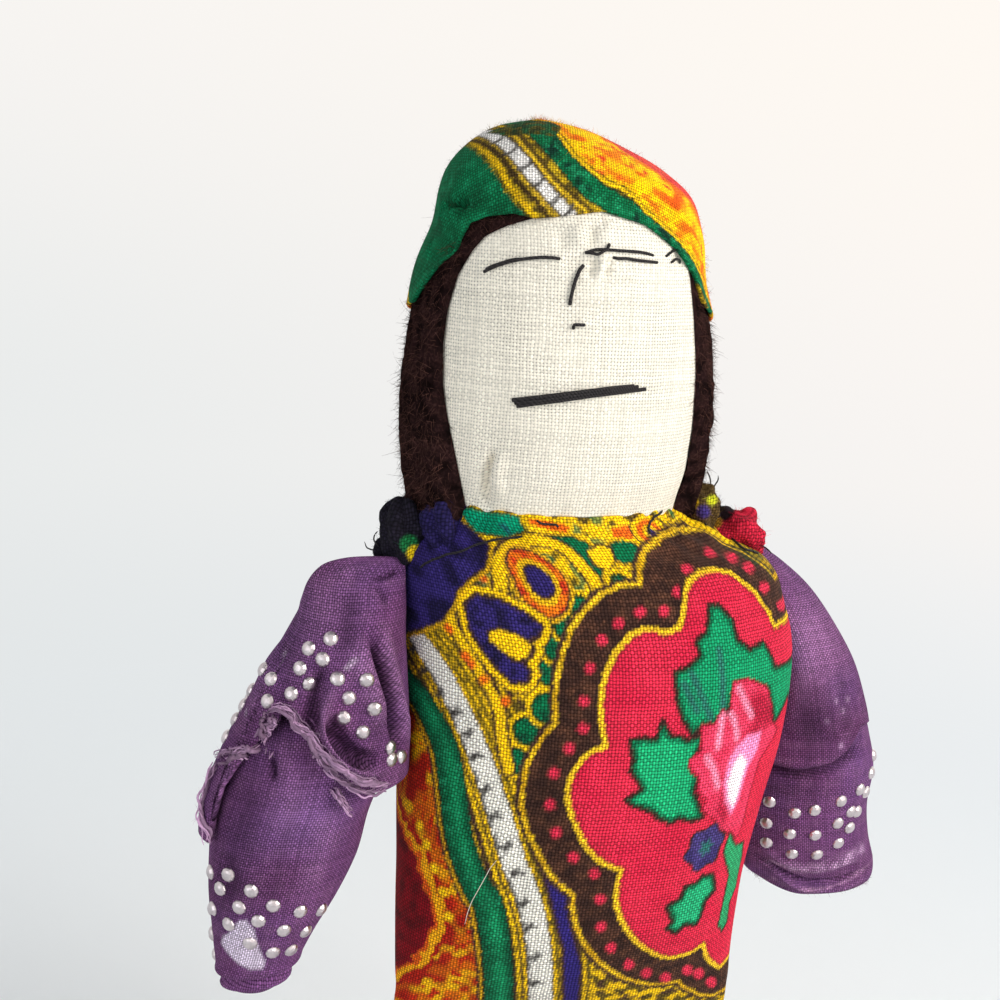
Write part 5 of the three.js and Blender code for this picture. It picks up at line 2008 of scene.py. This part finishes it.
def smoothed(line, passes):
    """A line with its bends evened out; its ends stay."""
    line = line.copy()
    for _ in range(passes):
        line[1:-1] = (line[:-2] + 2 * line[1:-1] + line[2:]) / 4
    return line


# Shoulder gathers: the bunched cloth on each shoulder, as lumps pulled together

LUMP_ROWS = 46
LUMP_COLUMNS = 72


def gather_lump(centre, size, folds, seed):
    tilt = np.linspace(0.02, math.pi - 0.02, LUMP_ROWS)[:, None]
    turn = np.linspace(0, TURN, LUMP_COLUMNS, endpoint=False)[None]
    pleat = 1 + 0.13 * np.cos(folds * turn + 2.4 * tilt + seed) * np.sin(tilt)
    across, along = np.sin(tilt) * np.cos(turn), np.sin(tilt) * np.sin(turn)
    ball = np.stack(np.broadcast_arrays(across, along, -np.cos(tilt)), -1)
    grid = np.asarray(centre, float) + ball * np.asarray(size, float) * pleat[..., None]
    flat = np.stack(np.broadcast_arrays(turn * size[0], -np.cos(tilt) * size[2]), -1)
    cloth = Cloth(None, grid, flat=flat)
    cloth.lumps(2.4, 0.6, seed)
    cloth.lumps(1.1, 0.3, seed + 20)
    return cloth


def lump_tint(cloth, ground, patches, seed):
    """Colours of a gathered lump: each patch has a pixel, a radius in pixels and a colour."""
    points = cloth.grid.reshape(-1, 3)
    seen, _ = project(points)
    colour = np.tile(linear(ground), (len(points), 1))
    dark = noise(points, 1.6, seed)[:, None]
    colour *= 0.55 + 0.75 * dark
    for (x, y), reach, tone in patches:
        gap = np.linalg.norm(seen - (x, y), axis=1)
        cover = np.clip((reach - gap) / 3 + 0.5, 0, 1)[:, None]
        colour += cover * (linear(tone) - colour)
    return colour


def placed(pixel, point):
    """The point that shows at a pixel and lies as far from the camera as another point."""
    return at_depth([pixel], point)[0]


LUMP_NAVY = (34, 28, 72)
LUMP_BLACK = (24, 21, 32)
LUMP_YELLOW = (226, 186, 24)
RIGHT_LUMPS = [
    (placed((404, 532), (-28.0, -5.4, 164.6)), (3.9, 4.4, 5.7), 5, LUMP_BLACK, 201),
    (placed((451, 520), (-23.2, -9.4, 167.2)), (4.4, 3.8, 5.4), 6, LUMP_NAVY, 202),
    (placed((392, 552), (-29.4, -2.6, 161.8)), (3.0, 3.4, 3.0), 4, LUMP_BLACK, 203),
    ((-24.2, 4.2, 165.0), (5.4, 5.6, 4.4), 6, LUMP_NAVY, 204),
]
LEFT_LUMPS = [
    (placed((703, 508), (21.2, -3.6, 167.0)), (2.6, 2.8, 4.0), 4, (92, 72, 40), 205),
    (placed((735, 530), (28.0, -0.6, 164.8)), (4.7, 4.2, 3.8), 3, (186, 32, 56), 206),
    ((23.6, 3.0, 166.4), (3.6, 4.2, 3.4), 4, LUMP_BLACK, 207),
    ((30.6, 2.6, 162.6), (3.6, 4.4, 3.2), 4, (176, 34, 54), 208),
]
LUMP_PATCHES = {
    201: [((409, 544), 9, (24, 104, 56)), ((415, 553), 8, (222, 188, 26))],
    205: [((690, 502), 8, LUMP_YELLOW), ((703, 512), 7, (60, 46, 110)), ((712, 500), 5, (196, 200, 40))],
    206: [((722, 508), 13, (30, 18, 24)), ((716, 522), 6, (150, 110, 30))],
}
LUMP_FIBRES = 420


def add_gather(side, lumps, print_cloth, fibre):
    for k, (centre, size, folds, ground, seed) in enumerate(lumps):
        cloth = gather_lump(centre, size, folds, seed)
        tint = lump_tint(cloth, ground, LUMP_PATCHES.get(seed, ()), seed)
        obj = cloth.build(f"{side}_gather_{k + 1}", tint, wraps=False)
        dress(obj, "torso", print_cloth, [f"{side}_shoulder_gather"] if k == 0 else ())
        points, normals, chosen = scatter(cloth, LUMP_FIBRES, seed)
        name = f"{side}_gather_fibres_{k + 1}"
        fuzz = fibre_mesh(name, points, normals, *LUMP_FIBRE, seed, (0, 0, 0), 2 * tint[chosen])
        dress(fuzz, "torso", fibre)


# Threads that show on the cloth

THREAD_RADIUS = 0.2
FRAY_RADIUS = 0.13
HAIR_RADIUS = 0.07
STRAY_HAIR = [(495, 861), (484, 878), (470, 904), (463, 925)]
SEAM_THREAD = [(418, 567), (430, 561), (450, 553), (475, 545), (499, 537), (520, 536)]
BODY_STITCHES = [
    [(671, 503), (662, 512), (654, 518)], [(653, 518), (650, 526), (652, 532)],
    [(719, 525), (732, 536), (744, 547)], [(744, 547), (752, 549), (760, 552)],
    [(690, 506), (700, 516), (708, 524)], [(540, 521), (548, 524), (556, 525)],
]
RIGHT_FRAYS = 5
FRAY_ANCHORS = [(-29.5, -4, 161.5), (24, 0, 167)]
FRAYS = [
    [(388, 540), (380, 552), (368, 548), (364, 540)], [(392, 548), (384, 560), (374, 556), (370, 566)],
    [(386, 556), (376, 562), (366, 558)], [(394, 560), (382, 566), (372, 564)],
    [(380, 546), (374, 540), (378, 532)],
    [(708, 492), (712, 480), (706, 470)], [(712, 492), (718, 484), (716, 474)],
    [(758, 545), (766, 548), (770, 553)],
]


def thread_on(bundle, body, pixels, passes, lift, radius, **shape):
    """A thread that lies on the body where pixels show it."""
    points, normals = body.at_pixels(smooth_line(pixels))
    bundle.add_tube(even_line(smoothed(points, passes) + normals * lift, 0.3), radius, **shape)


def add_threads(body, thread):
    bundle = Bundle()
    for pixels in [SEAM_THREAD, *BODY_STITCHES]:
        thread_on(bundle, body, pixels, 4, 0.2, THREAD_RADIUS)
    for k, pixels in enumerate(FRAYS):
        anchor = FRAY_ANCHORS[0] if k < RIGHT_FRAYS else FRAY_ANCHORS[1]
        line = smooth_line(at_depth(pixels, anchor))
        line[:, 1] += 1.2 * np.sin(np.linspace(0, 5, len(line)) + k)
        bundle.add_tube(even_line(line, 0.3), FRAY_RADIUS, sides=5, taper=0.7)
    dress(bundle.build("loose_threads"), "torso", thread)
    stray = Bundle()
    thread_on(stray, body, STRAY_HAIR, 6, 0.3, HAIR_RADIUS, sides=5, taper=0.6)
    dress(stray.build("stray_hair"), "torso", spun_thread("pale_hair", PALE_HAIR))


# The frayed edge of the right sleeve

FREE_LIFT = 1.4
FREE_BELOW = (752, 770)
FREE_BESIDE = 300
EDGE_RADIUS = 0.4
STRAND_RADII = (0.08, 0.22)
FRAY_FUZZ = 2600
FRAYED_EDGES = [
    ([(271, 710), (279, 708), (288, 714), (300, 722), (312, 734), (318, 748), (322, 760)], 15),
    ([(312, 736), (322, 756), (329, 771), (337, 786), (345, 800), (351, 811)], 12),
    ([(316, 744), (325, 766), (334, 786), (343, 800)], 6),
    ([(316, 744), (330, 757), (346, 768), (366, 778), (388, 782)], 8),
    ([(322, 760), (336, 772), (352, 784), (370, 790), (386, 786)], 6),
    ([(217, 757), (224, 753), (238, 751), (252, 749), (266, 744)], 8),
    ([(220, 764), (230, 758), (242, 757), (252, 754)], 5),
    ([(268, 742), (268, 730), (274, 722), (284, 722)], 6),
    ([(216, 764), (206, 785), (201, 800), (202, 818), (208, 842)], 7),
    ([(266, 712), (262, 722), (266, 734), (276, 736)], 5),
]


def on_either(first, second, pixels):
    """Points of the first cloth that show at pixels, and of the second where the first doesn't reach."""
    points, normals = first.at_pixels(pixels)
    others, other_normals = second.at_pixels(pixels)
    missed = np.linalg.norm(project(points)[0] - pixels, axis=1) > 4
    points[missed] = others[missed]
    normals[missed] = other_normals[missed]
    return smoothed(points, 6), normals


def fray_strand(rng, points, normals):
    """A strand's path, twisted round the frayed edge."""
    phase, turns = rng.uniform(0, TURN), rng.uniform(1.5, 4)
    share = np.linspace(0, 1, len(points))[:, None]
    twist = 0.34 * np.sin(turns * TURN * share + phase)
    shift = rng.normal(0, 0.3, (1, 3)) + twist * np.cross(normals, np.gradient(points, axis=0) * 2)
    lift = rng.uniform(0.35, 0.8) + 0.3 * np.cos(turns * TURN * share + phase)
    lifted = points + normals * lift + shift
    return smooth_line(even_line(lifted + rng.normal(0, 0.06, lifted.shape), 0.7), steps=3)


def add_frayed_edge(sleeve, forearm):
    rng = np.random.default_rng(301)
    bundle = Bundle()
    tones, places = [], []
    for pixels, strands in FRAYED_EDGES:
        line = smooth_line(pixels, steps=10)
        points, normals = on_either(sleeve, forearm, line)
        points = points + FREE_LIFT * BACK * ramp(line[:, 1:], *FREE_BELOW) * (line[:, :1] > FREE_BESIDE)
        for strand in range(strands):
            path = fray_strand(rng, points, normals)
            before = bundle.count
            radius = EDGE_RADIUS if strand == 0 else rng.uniform(*STRAND_RADII)
            bundle.add_tube(path, radius, sides=6, taper=0.6)
            places.append(path)
            tone = linear(FRAYED) * rng.uniform(0.4, 1.35)
            tones.append(np.tile(tone, (bundle.count - before, 1)))
    fibre = brushed_fibre("frayed_fibre")
    obj = bundle.build("sleeve_frayed_edge", np.minimum(np.vstack(tones), 1))
    dress(obj, "right_upper_arm", fibre, ["right_elbow_frill"])
    roots = np.vstack(places)
    roots = roots[rng.choice(len(roots), FRAY_FUZZ)]
    away = unit_rows(rng.normal(0, 1, roots.shape) + BACK)
    fuzz_tones = linear(PURPLE_WORN) * rng.uniform(0.35, 1.2, (FRAY_FUZZ, 1))
    fuzz = fibre_mesh("frayed_fuzz", roots, away, *FRAY_FIBRE, 302, (0, 0, -0.2), fuzz_tones)
    dress(fuzz, "right_upper_arm", fibre)


# Stage and light, in metres

STAGE_FLAT = 1.0
STAGE_BEND = 0.5
STAGE_TOP = 2.4
STAGE_SIDES = 96
GLOW_RADII = (0.1, 0.42)
GLOW_SIDES = (-0.9, 0.9)
LAMP_AIM = np.array([0, 0, 0.15])
LAMPS = [
    ("key", (0.72, -0.66, 0.62), 0.55, 10.0, (1, 0.965, 0.92)),
    ("fill", (-0.9, -0.8, 0.4), 1.0, 3.8, (0.93, 0.965, 1)),
    ("rim", (0.6, 0.8, 0.7), 0.8, 5, (1, 0.98, 0.95)),
]
WORLD_COLOUR = (0.94, 0.96, 1, 1)
WORLD_STRENGTH = 0.32
BACKDROP = [
    ((214, 219, 220), (240, 244, 247), 0.0, 0.1),
    ((226, 231, 232), (250, 246, 243), 0.1, 0.6),
    ((246, 244, 242), (255, 249, 242), 0.6, 1.4),
]


def stage_profile():
    """Radii and heights, in metres, of a floor that bends up into a wall."""
    flat = [(r, 0.0) for r in (0.0, 0.15, 0.4, 0.7, STAGE_FLAT)]
    turns = np.linspace(0, math.pi / 2, 13)[1:]
    bend = [(STAGE_FLAT + STAGE_BEND * math.sin(a), STAGE_BEND * (1 - math.cos(a))) for a in turns]
    return np.array(flat + bend + [(STAGE_FLAT + STAGE_BEND, STAGE_TOP)])


def backdrop_shade(s, radius, x, z):
    """The backdrop's colour, which grows paler and warmer up the wall."""
    side = s.ramp(x, *GLOW_SIDES)
    height = s.math("ADD", s.math("MULTIPLY", radius, 0.6), z)
    shade = None
    for left, right, start, end in BACKDROP:
        level = s.mix(rgba(left), rgba(right), side)
        shade = level if shade is None else s.mix(shade, level, s.ramp(height, start, end))
    return shade


def backdrop():
    """A matt floor near the doll, and a plain glow further off that only the camera and gloss see."""
    s = Shader("backdrop", roughness=1.0)
    s.specular(0.0)
    s.colour(rgba(FLOOR))
    split = s.node("ShaderNodeSeparateXYZ")
    s.feed(split.inputs[0], s.place())
    x, y, z = split.outputs
    radius = s.math("SQRT", s.math("ADD", s.math("MULTIPLY", x, x), s.math("MULTIPLY", y, y)))
    glow = s.node("ShaderNodeEmission")
    s.feed(glow.inputs["Color"], backdrop_shade(s, radius, x, z))
    path = s.node("ShaderNodeLightPath")
    seen = s.math("MAXIMUM", path.outputs["Is Camera Ray"], path.outputs["Is Glossy Ray"])
    both = s.node("ShaderNodeMixShader")
    s.feed(both.inputs[0], s.math("MULTIPLY", seen, s.ramp(radius, *GLOW_RADII)))
    s.feed(both.inputs[1], s.surface.outputs[0])
    s.feed(both.inputs[2], glow.outputs[0])
    s.feed(s.tree.nodes["Material Output"].inputs["Surface"], both.outputs[0])
    return s.material


def make_stage():
    profile = stage_profile() / MM
    turn = np.arange(STAGE_SIDES) / STAGE_SIDES * TURN
    ring = np.stack([np.cos(turn), np.sin(turn), np.zeros(STAGE_SIDES)], -1)
    grid = profile[:, :1, None] * ring + [MID_X, MID_Y, 0] + profile[:, 1:, None] * [0, 0, 1]
    faces = grid_faces(len(profile), STAGE_SIDES, True)
    stage = make_mesh("stage", grid.reshape(-1, 3), faces.tolist())
    stage.data.materials.append(backdrop())


def make_lights():
    for name, place, size, power, colour in LAMPS:
        data = bpy.data.lights.new(name, "AREA")
        data.size = size
        data.energy = power
        data.color = colour
        lamp = link(name, data)
        lamp.location = place
        lamp.rotation_euler = Vector(LAMP_AIM - np.array(place)).to_track_quat("-Z", "Y").to_euler()
    world = bpy.data.worlds.new("world")
    world.use_nodes = True
    world.node_tree.nodes["Background"].inputs["Color"].default_value = WORLD_COLOUR
    world.node_tree.nodes["Background"].inputs["Strength"].default_value = WORLD_STRENGTH
    bpy.context.scene.world = world
    bpy.context.scene.view_settings.view_transform = "Standard"


# The pieces


def add_stuffed(name, cloth, tint, body, material, nodes, capped=(True, True)):
    dress(cloth.build(name, tint, capped), body, material, nodes)


def make_body(print_cloth):
    body = shape_body()
    nodes = ["body_skin", "torso_stuffing"]
    add_stuffed("body_cloth", body, paint_body(body), "torso", print_cloth, nodes, (True, False))
    return body


def make_head(thread):
    cotton = woven_cloth("cream_cotton", WEAVE, holes=1.25, depth=0.2, slub=0.4, colour=CREAM)
    head = shape_head()
    add_stuffed("head_cloth", head, None, "torso", cotton, ["head_skin", "head_stuffing"])
    face_stitches(head, thread)


def make_hair():
    hair = shape_hair()
    dress(hair.build("hair_felt"), "torso", felt("hair_felt", HAIR, HAIR_LIGHT), ["hair"])
    points, normals, _ = scatter(hair, HAIR_FIBRES, 401)
    tones = varied(HAIR_FUZZ, 0.15, 1.2, len(points), 405)
    fuzz = fibre_mesh("hair_fibres", points, normals, *HAIR_FIBRE, 402, (0, 0, -0.4), tones)
    dress(fuzz, "torso", brushed_fibre("hair_fibre"))


def make_cap():
    cloth = woven_cloth("scarf_cotton", WEAVE * 0.8, holes=1.3, depth=1.1, slub=0.8)
    cap = shape_cap()
    tint = paint_cap(cap)
    obj = cap.build("cap_cloth", tint, capped=(False, True), wraps=False)
    dress(obj, "torso", cloth, ["headscarf"])
    points, normals, chosen = scatter(cap, CAP_FIBRES, 403)
    fuzz = fibre_mesh("cap_fibres", points, normals, *CAP_FIBRE, 404, (0, 0, 0), tint[chosen])
    dress(fuzz, "torso", brushed_fibre("cap_fibre"))


def add_forearm(side, cloth, tint, purple):
    nodes = [f"{side}_forearm_sleeve", f"{side}_forearm_stuffing"]
    add_stuffed(f"{side}_forearm_cloth", cloth, tint, f"{side}_forearm", purple, nodes)


def make_right_arm(purple, metal):
    sleeve = shape_right_sleeve()
    tint = paint_right_sleeve(sleeve)
    nodes = ["right_upper_sleeve", "right_upper_stuffing"]
    add_stuffed("right_sleeve", sleeve, tint, "right_upper_arm", purple, nodes, (False, True))
    forearm = shape_right_forearm()
    add_forearm("right", forearm, paint_right_forearm(forearm), purple)
    add_frayed_edge(sleeve, forearm)
    places = (RIGHT_SLEEVE_STUDS, RIGHT_SLEEVE_BEHIND)
    add_studs("right_sleeve_studs", sleeve, *places, "right_upper_arm", metal)
    places = (RIGHT_FOREARM_STUDS, RIGHT_FOREARM_BEHIND)
    add_studs("right_forearm_studs", forearm, *places, "right_forearm", metal)


def make_left_arm(purple, metal):
    sleeve = shape_left_sleeve()
    tint = paint_left_sleeve(sleeve)
    nodes = ["left_upper_sleeve", "left_upper_stuffing"]
    add_stuffed("left_sleeve", sleeve, tint, "left_upper_arm", purple, nodes)
    cuff = shape_left_forearm()
    add_forearm("left", cuff, paint_left_forearm(cuff), purple)
    places = (LEFT_FOREARM_STUDS, LEFT_FOREARM_BEHIND)
    add_studs("left_forearm_studs", cuff, *places, "left_forearm", metal)
    hem = ridge(cuff.flat[..., 1] - LEFT_FOREARM.length_up(LEFT_HEM_EDGE), 0.9)
    points, normals, _ = scatter(cuff, HEM_FIBRES, 406, hem)
    tones = varied(CUFF_FUZZ, 0.3, 1.1, len(points), 407)
    fuzz = fibre_mesh("left_hem_fibres", points, normals, *HEM_FIBRE, 408, (0, 0, -0.3), tones)
    dress(fuzz, "left_forearm", brushed_fibre("hem_fibre"))


def make_legs(purple):
    for side, name in ((-1, "right"), (1, "left")):
        leg = shape_leg(side)
        tint = paint_purple(leg, 111 + side).colour
        nodes = [f"{name}_leg_skin", f"{name}_leg_stuffing"]
        add_stuffed(f"{name}_leg_cloth", leg, tint, f"{name}_leg", purple, nodes)


def make_pieces():
    print_cloth = woven_cloth("printed_cotton", WEAVE, holes=1.25, depth=1.25, slub=0.7)
    purple = woven_cloth("purple_cloth", FINE_WEAVE, holes=1.4, depth=1.3, slub=0.9)
    thread = spun_thread("black_thread", INK)
    metal = stud_metal("stud_metal")
    body = make_body(print_cloth)
    make_head(thread)
    make_hair()
    make_cap()
    make_right_arm(purple, metal)
    make_left_arm(purple, metal)
    make_legs(purple)
    fibre = brushed_fibre("gather_fibre")
    add_gather("right", RIGHT_LUMPS, print_cloth, fibre)
    add_gather("left", LEFT_LUMPS, print_cloth, fibre)
    add_threads(body, thread)


make_camera()
make_stage()
make_lights()
make_pieces()
